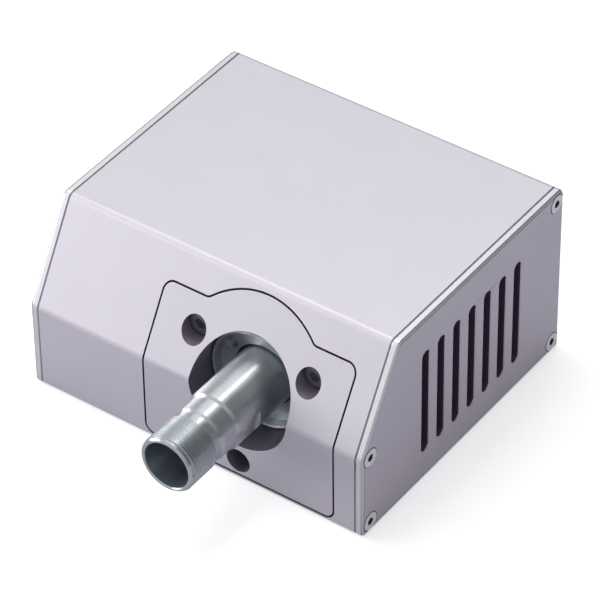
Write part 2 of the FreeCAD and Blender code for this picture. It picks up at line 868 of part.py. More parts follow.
class Bearing:
    """A shielded deep-groove ball bearing on the spindle axis."""

    def __init__(self, name, bore, outside, width, ball_radius, ball_count, station):
        self.name, self.bore, self.outside, self.width = name, bore, outside, width
        self.ball_radius, self.ball_count, self.station = ball_radius, ball_count, station
        self.pitch = (bore + outside) / 2
        land = ball_radius * 0.68
        self.inner_land, self.outer_land = self.pitch - land, self.pitch + land
        self.middle = station + width / 2

    def groove(self, label):
        """The ring that both races are ground out with, a clearance round the balls."""
        torus = doc.addObject("Part::Torus", f"{self.name}_{label}_groove")
        bind(torus, "Radius1", self.pitch)
        bind(torus, "Radius2", self.ball_radius + size.ball_clearance)
        return place(torus, on_axis(self.middle), "y")

    def ring(self, label, inner, outer):
        blank = turned(f"{self.name}_{label}_blank",
                       tube(inner, outer, self.station, self.station + self.width))
        return cut(f"{self.name}_{label}_ring", blank, self.groove(label))

    def inner_ring(self):
        return self.ring("inner", self.bore + size.clearance, self.inner_land)

    def outer_ring(self):
        return self.ring("outer", self.outer_land, self.outside)

    def ball_places(self):
        count = int(self.ball_count.value)
        return [round_axis(self.pitch, 360 * i / self.ball_count, self.middle) for i in range(count)]

    def balls(self):
        return group(f"{self.name}_balls", [
            ball(f"{self.name}_ball{i}", self.ball_radius, at)
            for i, at in enumerate(self.ball_places())])

    def cage(self):
        """A crown between the lands: a closed rim behind, with a pocket round each ball."""
        half = self.ball_radius * 0.4
        blank = turned(f"{self.name}_cage_blank", tube(
            self.pitch - half, self.pitch + half,
            self.middle - self.ball_radius * 0.5, self.middle + self.ball_radius * 1.3))
        pockets = [ball(f"{self.name}_pocket{i}", self.ball_radius + size.clearance, at)
                   for i, at in enumerate(self.ball_places())]
        return cut(f"{self.name}_cage", blank, *pockets)

    def shields(self):
        """Two thin washers just inside the faces, held by the outer ring."""
        gap, thick = 0.3, size.shield_thickness
        starts = (self.station + gap, self.station + self.width - gap - thick)
        return group(f"{self.name}_shields", [
            turned(f"{self.name}_shield{i}",
                   tube(self.inner_land + gap, self.outer_land - size.clearance,
                        start, start + thick))
            for i, start in enumerate(starts)])


front_bearing = Bearing("front_bearing", size.front_bore, size.front_outside, size.front_width,
                        size.front_ball, size.front_balls, size.front_station)
rear_bearing = Bearing("rear_bearing", size.rear_bore, size.rear_outside, size.rear_width,
                       size.rear_ball, size.rear_balls, rear_station)
rear_pocket_end = rear_bearing.station + rear_bearing.width


def split_ring(name, inner, outer, station):
    """A retaining ring with the gap that lets it spring into its groove."""
    blank = turned(name + "_blank", tube(inner, outer, station, station + size.ring_thickness))
    x, y, z = on_axis(station)
    gap = block(name + "_gap", (x - 1.2, y - 1, z), (x + 1.2, y + size.ring_thickness + 1, z + outer + 1))
    return cut(name, blank, gap)


def preload_washer():
    """A coned spring washer between the rear bearing and the bottom of its pocket."""
    thick, rise = size.washer_thickness, size.washer_rise
    start = rear_pocket_end
    outer = size.rear_outside - size.washer_inset
    inner = outer - size.washer_width
    return turned("preload_washer", [
        (inner, start + rise - thick), (outer, start), (outer, start + thick), (inner, start + rise)])


# Spindle shaft

class ShaftStations:
    """Stations along the shaft, from the nose back; negative ones stand out of the housing."""

    tip = -size.nose_reach
    thread_end = tip + size.nose_length
    relief_end = thread_end + size.relief_length
    pilot_start = relief_end + size.step_length
    pilot_end = pilot_start + size.pilot_length
    body_start = pilot_end + size.step_length
    shoulder = size.front_station
    front_seat_end = pocket_end + size.ring_thickness + 1.2
    core_seat_end = rear_station
    back = rear_pocket_end + 2.2


def shaft_outline():
    """The half section: down the outside from the nose, and back up the two bores."""
    s = ShaftStations
    mouth, chamfer = size.collet_mouth, size.nose_chamfer
    taper_end = mouth - size.collet_depth * tangent(size.collet_angle)
    groove = size.front_bore - 0.4
    groove_from, groove_to = pocket_end, pocket_end + size.ring_thickness + 0.1
    return [
        (mouth + 0.2, s.tip), (size.nose_radius - chamfer, s.tip),
        (size.nose_radius, s.tip + chamfer), (size.nose_radius, s.thread_end - 0.4),
        (size.relief_radius, s.thread_end), (size.relief_radius, s.relief_end),
        (size.pilot_radius, s.pilot_start), (size.pilot_radius, s.pilot_end),
        (size.body_radius, s.body_start),
        (size.body_radius, s.shoulder), (size.front_bore, s.shoulder),
        (size.front_bore, groove_from), (groove, groove_from), (groove, groove_to),
        (size.front_bore, groove_to), (size.front_bore, s.front_seat_end),
        (size.core_seat, s.front_seat_end), (size.core_seat, s.core_seat_end),
        (size.rear_bore, s.core_seat_end), (size.rear_bore, s.back - 0.4),
        (size.rear_bore - 0.4, s.back), (0, s.back),
        (0, s.tip + size.shank_depth), (size.shank_bore, s.tip + size.shank_depth - 2),
        (size.shank_bore, s.tip + size.collet_depth), (taper_end, s.tip + size.collet_depth),
        (mouth, s.tip + 0.2)]


def spindle_shaft():
    """The shaft with two wrench flats behind the pilot step."""
    blank = turned("shaft_blank", shaft_outline())
    reach = size.body_radius + 1
    x, y, z = on_axis(ShaftStations.pilot_end)
    flats = []
    for i in range(2):
        flat = doc.addObject("Part::Box", f"shaft_flat{i}")
        bind(flat, "Length", reach)
        bind(flat, "Width", 2 * reach)
        bind(flat, "Height", size.flat_length + size.step_length)
        lift = size.flat_across / 2
        angle = size.flat_turn + 180 * i
        flat.Placement = FreeCAD.Placement(FreeCAD.Vector(), TURNS["y"].multiply(
            FreeCAD.Rotation(FreeCAD.Vector(0, 0, 1), -angle.value)))
        bind(flat, ".Placement.Base.x", x + lift * cosine(angle) - reach * sine(angle))
        bind(flat, ".Placement.Base.y", y)
        bind(flat, ".Placement.Base.z", z + lift * sine(angle) + reach * cosine(angle))
        flats.append(flat)
    return cut("spindle_shaft", blank, *flats)


# Motor

can_start = flange_back


def motor_can():
    """The steel tube with four cooling windows near each end."""
    blank = turned("can_blank", tube(can_inside, size.can_radius, can_start, can_end))
    tools = []
    for i in range(4):
        for label, start, length in (("front", spigot_end + 1, 3.0), ("rear", core_end + 1.5, 3.0)):
            x, y, z = round_axis(size.can_radius - size.can_wall - 1, 45 + 90 * i, start)
            tools.append(block(f"can_{label}_window{i}", (x - 4, y, z - 4), (x + 4, y + length, z + 4)))
    return cut("motor_can", blank, *tools)


def motor_magnets():
    """Two ferrite arcs against the inside of the can."""
    outer = can_inside - size.clearance
    section = tube(outer - size.magnet_thickness, outer, core_start, core_end)
    return group("motor_magnets", [
        turned(f"magnet{i}", section, turn=90 + 180 * i, angle=size.magnet_angle)
        for i in range(2)])


def motor_rear_cap():
    """The end cap: a spigot in the can, a plate over it and the rear bearing's cup."""
    spigot = can_inside - size.clearance
    cup = size.rear_outside + 1.8
    pocket = size.rear_outside + size.clearance
    plate_end = can_end + size.rear_plate
    floor = rear_pocket_end + size.washer_rise
    inside = spigot - size.spigot_wall
    return turned("motor_rear_cap", [
        (inside, can_end - 3), (spigot, can_end - 3), (spigot, can_end),
        (size.can_radius, can_end), (size.can_radius, plate_end), (cup, plate_end),
        (cup, floor + 1.2), (size.rear_bore + 1, floor + 1.2), (size.rear_bore + 1, floor),
        (pocket, floor), (pocket, can_end), (inside, can_end)])


def bar_round_axis(name, radii, half_thickness, stations, angle):
    """A straight bar that stands out from the axis at an angle, between two radii."""
    bar = doc.addObject("Part::Box", name)
    bind(bar, "Length", as_size(radii[1]) - radii[0])
    bind(bar, "Width", 2 * as_size(half_thickness))
    bind(bar, "Height", as_size(stations[1]) - stations[0])
    angle = as_size(angle)
    bar.Placement = FreeCAD.Placement(FreeCAD.Vector(), TURNS["y"].multiply(
        FreeCAD.Rotation(FreeCAD.Vector(0, 0, 1), -angle.value)))
    x, y, z = on_axis(stations[0])
    bind(bar, ".Placement.Base.x", x + radii[0] * cosine(angle) - half_thickness * sine(angle))
    bind(bar, ".Placement.Base.y", y)
    bind(bar, ".Placement.Base.z", z + radii[0] * sine(angle) + half_thickness * cosine(angle))
    return bar


def rotor_core():
    """The lamination stack with a winding slot and its mouth between each pair of teeth."""
    blank = turned("core_blank", tube(size.core_seat + size.clearance, core_radius,
                                      core_start, core_end))
    count = int(size.core_slots.value)
    tools = []
    for i in range(count):
        angle = 360 * i / size.core_slots
        tools.append(rod(f"core_slot{i}", size.slot_radius, core_length + 2,
                         round_axis(size.slot_circle, angle, core_start - 1)))
        tools.append(bar_round_axis(f"core_mouth{i}", (size.slot_circle, core_radius + 1), 0.8,
                                      (core_start - 1, core_end + 1), angle))
    return cut("rotor_core", blank, *tools)


def rotor_windings():
    """Copper bundles through the slots, joined by a ring of end turns at each end."""
    reach = size.slot_radius - 0.2
    outer, inner = size.slot_circle + reach, size.slot_circle - reach
    half_round = size.end_turn / 3
    rings = [turned(f"end_turns_{label}", [
        (inner, low), (outer, low, half_round), (outer, high, half_round), (inner, high)])
        for label, low, high in (("front", core_start - size.end_turn, core_start),
                                 ("rear", core_end, core_end + size.end_turn))]
    bundles = [rod(f"bundle{i}", reach, core_length + 1,
                   round_axis(size.slot_circle, 360 * i / size.core_slots, core_start - 0.5))
               for i in range(int(size.core_slots.value))]
    return fuse("rotor_windings", *rings, *bundles)


def commutator():
    """A copper ring with one shallow saw cut for each slot of the core."""
    end = commutator_start + size.commutator_length
    blank = turned("commutator_blank", tube(size.core_seat + size.clearance, size.commutator_radius,
                                            commutator_start, end))
    cuts = [bar_round_axis(f"saw_cut{i}", (size.commutator_radius - 0.6, size.commutator_radius + 1),
                             0.2, (commutator_start - 1, end + 1),
                             360 * (i + 0.5) / size.core_slots)
            for i in range(int(size.core_slots.value))]
    return cut("commutator", blank, *cuts)


def cooling_fan():
    """A radial fan on the shaft inside the can: hub, back disc and straight blades."""
    end = fan_start + size.fan_depth
    disc = tube(size.core_seat + size.clearance, size.fan_radius, end - 0.9, end)
    hub = tube(size.core_seat + size.clearance, size.core_seat + 1.6, fan_start, end)
    blades = [bar_round_axis(f"fan_blade{i}", (size.core_seat + 1.2, size.fan_radius - 0.2), 0.45,
                               (fan_start + 0.2, end - 0.5), 360 * i / size.fan_blades)
              for i in range(int(size.fan_blades.value))]
    return fuse("cooling_fan", turned("fan_disc", disc), turned("fan_hub", hub), *blades)


brush_middle = commutator_start + size.commutator_length / 2
brush_start = size.commutator_radius + size.running_gap
brush_end = brush_start + size.brush_length
holder_end = can_inside - size.clearance - size.spigot_wall - size.holder_gap


def brush_box(name, sign, radii, half_width_z, half_depth):
    """A block on the brushes' line, level with the spindle axis."""
    x, y, z = on_axis(brush_middle)
    near, far = (x + sign * radii[0], x + sign * radii[1])
    low, high = (near, far) if sign > 0 else (far, near)
    return block(name, (low, y - half_depth, z - half_width_z), (high, y + half_depth, z + half_width_z))


def brush_holders():
    """Two square brass guides on the end cap, closed at the outer end."""
    holders = []
    for side, sign in SIDES.items():
        outer = brush_box(f"{side}_holder_outside", sign, (brush_start + 0.6, holder_end),
                          size.brush_width / 2 + size.holder_wall,
                          can_end - brush_middle)
        bore = brush_box(f"{side}_holder_bore", sign, (brush_start, holder_end - size.holder_wall),
                         size.brush_width / 2 + size.clearance,
                         size.brush_height / 2 + size.clearance)
        holders.append(cut(f"{side}_brush_holder", outer, bore))
    return group("brush_holders", holders)


def carbon_brushes():
    return group("carbon_brushes", [
        brush_box(f"{side}_brush", sign, (brush_start, brush_end), size.brush_width / 2,
                  size.brush_height / 2)
        for side, sign in SIDES.items()])


def brush_springs():
    """Coil springs that press the brushes, between each brush and its holder's end."""
    springs = []
    wire, coil_radius = size.spring_wire, size.spring_radius
    for side, sign in SIDES.items():
        length = holder_end - size.holder_wall - brush_end - 2 * wire - 0.1
        helix = doc.addObject("Part::Helix", f"{side}_spring_line")
        bind(helix, "Height", length)
        bind(helix, "Pitch", length / 3)
        bind(helix, "Radius", coil_radius)
        section = doc.addObject("Part::Circle", f"{side}_spring_wire")
        bind(section, "Radius", wire)
        section.Placement = FreeCAD.Placement(FreeCAD.Vector(coil_radius.value, 0, 0),
                                              FreeCAD.Rotation(FreeCAD.Vector(1, 0, 0), 90))
        sweep = doc.addObject("Part::Sweep", f"{side}_brush_spring")
        sweep.Sections = [section]
        sweep.Spine = (helix, ["Edge1"])
        sweep.Solid = True
        sweep.Frenet = True
        x, y, z = on_axis(brush_middle)
        start = x + sign * (brush_end + wire + 0.05)
        springs.append(place(sweep, (start, y, z), "x" if sign > 0 else "-x"))
    return group("brush_springs", springs)


terminal_spread = 24.0


def terminal_centre(turn):
    return round_axis(size.terminal_radius, 180 + turn * terminal_spread, can_end + size.rear_plate)


def motor_terminals():
    """Two brass tabs that stand out of the end cap's back."""
    tabs = []
    for label, turn in (("upper", -1), ("lower", 1)):
        x, y, z = terminal_centre(turn)
        thick, wide = size.tab_thickness / 2, size.tab_width / 2
        tabs.append(block(f"{label}_terminal", (x - thick, y, z - wide),
                          (x + thick, y + size.tab_length, z + wide)))
    return group("motor_terminals", tabs)


# Electronics

board_bottom = size.wall + size.standoff_height
board_top = board_bottom + size.board_thickness
choke_reach = size.choke_ring + size.choke_winding
socket_front = rear - size.wall - size.socket_depth
choke_y = socket_front - size.piece_gap - choke_reach
sink_front = choke_y - choke_reach - size.piece_gap - size.sink_length
board_front = sink_front - size.board_hole_inset - 2


def capacitor_y(index):
    """Where the capacitors stand along the board, one behind the other."""
    first = board_front + 2 * size.board_hole_inset + size.piece_gap + size.capacitor_radius
    return first + (2 * size.capacitor_radius + size.piece_gap) * index


def board_hole_places():
    """Two holes down each long side, clear of the socket and the terminal block."""
    left, right = board_left + size.board_hole_inset, board_right - size.board_hole_inset
    near = board_front + size.board_hole_inset
    behind_capacitors = capacitor_y(1) + size.capacitor_radius + size.standoff_radius
    return [(left, near), (left, choke_y + size.choke_ring), (right, near),
            (right, behind_capacitors)]


def control_board():
    board = block("board_blank", (board_left, board_front, board_bottom),
                  (board_right, board_rear, board_top))
    holes = [rod(f"board_hole{i}", size.board_hole, size.board_thickness + 2,
                 (x, y, board_bottom - 1), "z")
             for i, (x, y) in enumerate(board_hole_places())]
    return cut("control_board", board, *holes)


def board_standoffs():
    profile = tube(size.board_hole, size.standoff_radius, 0, size.standoff_height)
    return group("board_standoffs", [
        turned(f"standoff{i}", profile, at=(x, y, size.wall), along="z")
        for i, (x, y) in enumerate(board_hole_places())])


def board_screws():
    screws = []
    for i, (x, y) in enumerate(board_hole_places()):
        head_top = board_top + size.board_screw_head_height
        solid = fuse(f"board_screw{i}_solid",
                     rod(f"board_screw{i}_head", size.board_screw_head, size.board_screw_head_height,
                         (x, y, board_top), "z"),
                     rod(f"board_screw{i}_shank", size.board_hole - size.clearance, size.board_screw,
                         (x, y, head_top), "-z"))
        slot = hexagon(f"board_screw{i}_socket", size.small_key, size.board_screw_head_height * 0.6,
                       (x, y, head_top), "-z")
        screws.append(cut(f"board_screw{i}", solid, slot))
    return group("board_screws", screws)


def smoothing_capacitors():
    """Two electrolytic cans with a crimp near the foot."""
    radius, tall = size.capacitor_radius, size.capacitor_height
    profile = [(0, 0), (radius, 0), (radius, 1.6), (radius - 0.4, 2.0), (radius, 2.4),
               (radius, tall, as_size(0.6)), (0, tall)]
    return group("smoothing_capacitors", [
        turned(f"capacitor{i}", profile, along="z",
               at=(board_right - radius - size.capacitor_inset, capacitor_y(i), board_top))
        for i in range(2)])


sink_left = board_left + size.sink_inset


def driver_transistors():
    """Two flat power packages lying under the heat sink."""
    length = (size.sink_length - 3) / 2
    packages = []
    for i in range(2):
        y = sink_front + 1 + (length + 1) * i
        packages.append(block(f"transistor{i}", (sink_left, y, board_top),
                              (sink_left + size.package_width, y + length,
                               board_top + size.package_height)))
    return group("driver_transistors", packages)


def driver_heat_sink():
    """A finned bar on top of the transistors."""
    low = board_top + size.package_height
    left = sink_left - 1
    end = sink_front + size.sink_length
    base = block("sink_base", (left, sink_front, low),
                 (left + size.sink_width, end, low + size.sink_base))
    count = int(size.fin_count.value)
    pitch = (size.sink_width - size.fin_thickness) / (size.fin_count - 1)
    fins = [block(f"sink_fin{i}", (left + pitch * i, sink_front, low),
                  (left + pitch * i + size.fin_thickness, end, low + size.sink_height))
            for i in range(count)]
    return fuse("driver_heat_sink", base, *fins)


def power_choke():
    """A toroidal choke lying on the board."""
    ring = doc.addObject("Part::Torus", "power_choke")
    bind(ring, "Radius1", size.choke_ring)
    bind(ring, "Radius2", size.choke_winding)
    return place(ring, (board_left + size.choke_inset, choke_y, board_top + size.choke_winding))


terminal_right = board_right - size.terminal_inset
terminal_rear = board_rear - size.terminal_inset


def lane_y(lane):
    """How far back each lead goes into the terminal block's side."""
    return terminal_rear - size.terminal_well - 1.5 - size.terminal_pitch * lane


def board_terminal_block():
    """The two-way screw terminal that the motor's leads go into."""
    top = board_top + size.terminal_height
    body = block("terminal_body",
                 (terminal_right - size.terminal_width, terminal_rear - size.terminal_length, board_top),
                 (terminal_right, terminal_rear, top))
    wells = [rod(f"terminal_well{i}", size.terminal_well, 2.5,
                 (terminal_right - size.terminal_width / 2, lane_y(i), top - 1.5), "z")
             for i in range(2)]
    return cut("board_terminal_block", body, *wells)


def motor_lead(name, turn, lane):
    """A lead from a motor tab to the terminal block: three runs joined by two round bends."""
    x, y, z = (value.value for value in terminal_centre(turn))
    tab_end = y + size.tab_length.value
    lane_at, entry = lane_y(lane).value, (board_top + size.lead_entry).value
    points = [FreeCAD.Vector(x, tab_end, z), FreeCAD.Vector(x, tab_end + 4, z),
              FreeCAD.Vector((terminal_right + size.lead_bend).value, lane_at, entry),
              FreeCAD.Vector(terminal_right.value, lane_at, entry)]
    edges, start = [], points[0]
    for i in (1, 2):
        before, corner, after = points[i - 1], points[i], points[i + 1]
        shorter = min((corner - before).Length, (after - corner).Length)
        turn_angle = (corner - before).getAngle(after - corner)
        radius = 0.45 * shorter / math.tan(turn_angle / 2)
        leave, meet, centre = arc_at_corner(before, corner, after, radius)
        middle = centre + (corner - centre).normalize() * radius
        edges += [Part.LineSegment(start, leave).toShape(), Part.Arc(leave, middle, meet).toShape()]
        start = meet
    edges.append(Part.LineSegment(start, points[-1]).toShape())
    ring = Part.Circle(points[0], FreeCAD.Vector(0, 1, 0), size.lead_radius.value)
    lead = doc.addObject("Part::Feature", name)
    lead.Shape = Part.Wire(edges).makePipeShell([Part.Wire([ring.toShape()])], True, False)
    return place(lead, (0, 0, 0))


def cable_socket():
    """The shielded receptacle behind the rear wall, with a row of contact holes."""
    middle = socket_centre_height()
    half_w, half_h = size.socket_width / 2, size.socket_height / 2
    inside = rear - size.wall
    shell = block("socket_body", (socket_x - half_w, socket_front, middle - half_h),
                  (socket_x + half_w, rear - 0.3, middle + half_h))
    ears = block("socket_ears", (socket_x - size.socket_screw_offset - 2.5, inside - 1.5, middle - half_h),
                 (socket_x + size.socket_screw_offset + 2.5, inside, middle + half_h))
    pitch = size.contact_pitch
    contacts = [rod(f"socket_contact{row}{i}", size.contact_radius, 5.0,
                    (socket_x + pitch * (i - (size.contact_columns - 1) / 2), rear - 0.3,
                     middle + pitch * (row - 0.5)), "-y")
                for row in range(2) for i in range(int(size.contact_columns.value))]
    threads = [rod(f"socket_{side}_thread", size.socket_screw_shank + size.clearance, 4.0,
                   (socket_x + sign * size.socket_screw_offset, inside + 1, middle), "-y")
               for side, sign in SIDES.items()]
    return cut("cable_socket", fuse("socket_solid", shell, ears), *contacts, *threads)


def socket_screws():
    """Pan-head screws that hold the socket to the rear wall."""
    screws = []
    middle = socket_centre_height()
    for side, sign in SIDES.items():
        x = socket_x + sign * size.socket_screw_offset
        head, tall = size.socket_screw_head, size.socket_screw_head_height
        solid = turned(f"{side}_socket_screw_solid", [
            (0, 0), (head, 0), (head, tall / 2), (head - tall / 2, tall), (0, tall)],
            at=(x, rear, middle))
        shank = rod(f"{side}_socket_screw_shank", size.socket_screw_shank, size.socket_screw,
                    (x, rear + tall / 2, middle), "-y")
        socket = hexagon(f"{side}_socket_screw_key", size.small_key, tall * 0.6,
                         (x, rear + tall * 0.4, middle))
        screws.append(cut(f"{side}_socket_screw", fuse(f"{side}_socket_screw_whole", solid, shank), socket))
    return group("socket_screws", screws)


# Every node of the part

nodes = {
    "housing_shell": housing_shell(),
    "left_side_plate": side_plate("left"),
    "right_side_plate": side_plate("right"),
    "left_plate_screws": plate_screws("left"),
    "right_plate_screws": plate_screws("right"),
    "spindle_mount_block": mount_block(),
    "block_cap_screws": block_cap_screws(),
    "block_base_screws": block_base_screws(),
    "carriage_thread_inserts": carriage_inserts(),
    "motor_front_cap": motor_front_cap(),
    "front_bearing_outer_ring": front_bearing.outer_ring(),
    "front_bearing_inner_ring": front_bearing.inner_ring(),
    "front_bearing_balls": front_bearing.balls(),
    "front_bearing_cage": front_bearing.cage(),
    "front_bearing_shields": front_bearing.shields(),
    "front_bearing_snap_ring": split_ring(
        "front_bearing_snap_ring", size.front_outside + 0.7 - size.snap_ring_width,
        size.front_outside + 0.7, groove_start + 0.05),
    "rear_bearing_outer_ring": rear_bearing.outer_ring(),
    "rear_bearing_inner_ring": rear_bearing.inner_ring(),
    "rear_bearing_balls": rear_bearing.balls(),
    "rear_bearing_cage": rear_bearing.cage(),
    "rear_bearing_shields": rear_bearing.shields(),
    "preload_washer": preload_washer(),
    "spindle_shaft": spindle_shaft(),
    "shaft_circlip": split_ring(
        "shaft_circlip", size.front_bore - 0.35, size.front_bore + size.circlip_reach,
        pocket_end + 0.05),
    "motor_can": motor_can(),
    "motor_magnets": motor_magnets(),
    "motor_rear_cap": motor_rear_cap(),
    "rotor_core": rotor_core(),
    "rotor_windings": rotor_windings(),
    "commutator": commutator(),
    "cooling_fan": cooling_fan(),
    "brush_holders": brush_holders(),
    "carbon_brushes": carbon_brushes(),
    "brush_springs": brush_springs(),
    "motor_terminals": motor_terminals(),
    "motor_lead_positive": motor_lead("motor_lead_positive", -1, 0),
    "motor_lead_negative": motor_lead("motor_lead_negative", 1, 1),
    "control_board": control_board(),
    "board_standoffs": board_standoffs(),
    "board_screws": board_screws(),
    "smoothing_capacitors": smoothing_capacitors(),
    "driver_transistors": driver_transistors(),
    "driver_heat_sink": driver_heat_sink(),
    "power_choke": power_choke(),
    "board_terminal_block": board_terminal_block(),
    "cable_socket": cable_socket(),
    "socket_screws": socket_screws(),
}

for node, piece in nodes.items():
    piece.Label = node
doc.recompute()

for thing in doc.Objects:
    if "Invalid" in thing.State or "Error" in thing.State:
        raise ValueError(f"{thing.Name} did not build: {thing.State}")
for node, piece in nodes.items():
    if piece.Shape.isNull() or not piece.Shape.isValid() or not piece.Shape.Solids:
        raise ValueError(f"{node} has no valid solid")

os.makedirs("parts", exist_ok=True)
for node, piece in nodes.items():
    piece.Shape.exportStep(f"parts/{node}.step")
    print(f"{node}: {len(piece.Shape.Solids)} solids, {piece.Shape.Volume:.1f} mm3")
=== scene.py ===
"""Dresses the spindle module: a blasted aluminium housing round a motor with a collet nose.

Everything is in metres in the part's own frame. Sizes are written in millimetres and turned to
metres where a mesh is made. A station is a depth behind the housing's front face, along the
spindle, so what stands out of the front has a negative one.
"""
from __future__ import annotations

import json
import logging
import math
from dataclasses import dataclass, field
from enum import Enum
from functools import cached_property
from typing import Callable, ClassVar, Iterable, Sequence

import bmesh
import bpy
from mathutils import Matrix, Vector

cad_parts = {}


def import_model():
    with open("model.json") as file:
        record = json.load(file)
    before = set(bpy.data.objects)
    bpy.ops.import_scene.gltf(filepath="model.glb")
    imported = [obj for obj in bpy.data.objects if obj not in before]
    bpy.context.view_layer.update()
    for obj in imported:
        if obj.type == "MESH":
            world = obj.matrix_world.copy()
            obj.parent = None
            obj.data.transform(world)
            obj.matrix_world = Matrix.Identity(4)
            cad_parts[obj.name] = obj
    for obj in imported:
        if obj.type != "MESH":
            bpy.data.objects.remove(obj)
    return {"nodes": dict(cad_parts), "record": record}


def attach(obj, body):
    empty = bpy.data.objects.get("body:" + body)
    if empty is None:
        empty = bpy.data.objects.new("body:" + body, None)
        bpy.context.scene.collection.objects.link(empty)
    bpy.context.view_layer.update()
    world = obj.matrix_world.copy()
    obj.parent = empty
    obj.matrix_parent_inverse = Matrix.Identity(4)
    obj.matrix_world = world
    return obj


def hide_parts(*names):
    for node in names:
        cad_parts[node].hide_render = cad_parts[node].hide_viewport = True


log = logging.getLogger("spindle_module")

MM = 0.001
# Edges that turn more than this many degrees stay sharp.
SHARP_TURN = 32
# A face whose normal has less than this along an axis is a wall beside that axis.
ACROSS = 0.3
# Where the block's three screws sit round the spindle, in degrees from +X towards +Z, and the
# radius of the circle that they lie on, in millimetres.
SCREW_ANGLES = (30, 150, 270)
SCREW_CIRCLE = 17.55

Colour = tuple[float, float, float, float]
Corner = tuple[float, float, float]
Tree = bpy.types.NodeTree
Socket = bpy.types.NodeSocket
Piece = bpy.types.Object
Shape = bmesh.types.BMesh


def linear(hex_colour: str) -> Colour:
    """Turns an sRGB hex colour into the linear values that a shader takes.

    Args:
        hex_colour: Six hex digits after a hash.

    Returns:
        Red, green, blue and an alpha of one.
    """
    parts = [int(hex_colour[i:i + 2], 16) / 255 for i in (1, 3, 5)]
    red, green, blue = (p / 12.92 if p <= 0.04045 else ((p + 0.055) / 1.055) ** 2.4 for p in parts)
    return (red, green, blue, 1.0)


def add(tree: Tree, kind: str, inputs: dict[str | int, object] | None = None,
        **settings: object) -> bpy.types.Node:
    """Adds a node with its settings, socket values and links.

    Args:
        tree: The node tree to add to.
        kind: The node's type name.
        inputs: Socket name or index to a value, or to another node's output.
        **settings: Properties of the node itself.

    Returns:
        The new node.
    """
    node = tree.nodes.new(kind)
    for name, value in settings.items():
        setattr(node, name, value)
    for socket, value in (inputs or {}).items():
        if isinstance(value, Socket):
            tree.links.new(value, node.inputs[socket])
        else:
            node.inputs[socket].default_value = value
    return node


def grains(millimetres: float) -> float:
    """The noise scale that gives grains of a size, in Object coordinates."""
    return 1 / (millimetres * MM)


class Turning(Enum):
    """Which way a piece's machining marks run."""

    ALONG_SPINDLE = (0.0, 1.0, 0.0)
    UPRIGHT = (0.0, 0.0, 1.0)


# Finishes


@dataclass(frozen=True)
class Finish:
    """A surface: how its colour, gloss and grain are made. Grain and relief are in millimetres."""

    # The size in millimetres of the slow clouds in the colour, and how far the roughness swings
    # with the grain.
    cloud: ClassVar[float] = 11
    unevenness: ClassVar[float] = 0.04

    name: str
    colour: str
    roughness: float = 0.5
    metallic: float = 0.0
    grain: float = 0.4
    relief: float = 0.004
    mottle: float = 0.03

    def material(self) -> bpy.types.Material:
        """Makes the material, or returns the one that was made before.

        Returns:
            The material, named for the finish.
        """
        known = bpy.data.materials.get(self.name)
        if known:
            return known
        made = bpy.data.materials.new(self.name)
        made.use_nodes = True
        tree = made.node_tree
        tree.nodes.clear()
        place = add(tree, "ShaderNodeTexCoord").outputs["Object"]
        shader = self.surface(tree, place)
        add(tree, "ShaderNodeOutputMaterial", {"Surface": shader.outputs["BSDF"]})
        return made

    def surface(self, tree: Tree, place: Socket) -> bpy.types.Node:
        """Builds the shader.

        Args:
            tree: The material's node tree.
            place: The Object coordinates.

        Returns:
            The Principled shader.
        """
        pattern = self.pattern(tree, place)
        cloud = add(tree, "ShaderNodeTexNoise", {
            "Vector": place, "Scale": grains(self.cloud), "Detail": 2.0})
        blend = add(tree, "ShaderNodeMath", {0: cloud.outputs["Fac"], 1: pattern}, operation="ADD")
        tint = add(tree, "ShaderNodeMapRange", {
            "Value": blend.outputs[0], "From Min": 0.6, "From Max": 1.4,
            "To Min": 1 - self.mottle, "To Max": 1 + self.mottle})
        colour = add(tree, "ShaderNodeMix", {"Factor": 1.0, "A": linear(self.colour),
                                             "B": tint.outputs[0]},
                     data_type="RGBA", blend_type="MULTIPLY")
        rough = add(tree, "ShaderNodeMapRange", {
            "Value": pattern, "To Min": self.roughness - self.unevenness,
            "To Max": self.roughness + self.unevenness})
        bump = add(tree, "ShaderNodeBump", {
            "Height": pattern, "Strength": 1.0, "Distance": self.relief * MM})
        return add(tree, "ShaderNodeBsdfPrincipled", {
            "Base Color": colour.outputs["Result"], "Roughness": rough.outputs[0],
            "Metallic": self.metallic, "Normal": bump.outputs["Normal"]})

    def pattern(self, tree: Tree, place: Socket) -> Socket:
        """An even grain.

        Args:
            tree: The material's node tree.
            place: The Object coordinates.

        Returns:
            The pattern's height, nought to one.
        """
        noise = add(tree, "ShaderNodeTexNoise", {
            "Vector": place, "Scale": grains(self.grain), "Detail": 3.0, "Roughness": 0.6})
        return noise.outputs["Fac"]


@dataclass(frozen=True)
class Lined(Finish):
    """A finish whose marks are lines square to a direction, as turning or stacking leaves."""

    run: Turning = Turning.ALONG_SPINDLE

    def pattern(self, tree: Tree, place: Socket) -> Socket:
        """Fine lines of uneven depth.

        Args:
            tree: The material's node tree.
            place: The Object coordinates.

        Returns:
            The pattern's height, nought to one.
        """
        along = add(tree, "ShaderNodeVectorMath", {0: place, 1: self.run.value},
                    operation="MULTIPLY")
        lines = add(tree, "ShaderNodeTexNoise", {
            "Vector": along.outputs[0], "Scale": grains(self.grain), "Detail": 2.0,
            "Roughness": 0.7})
        return lines.outputs["Fac"]


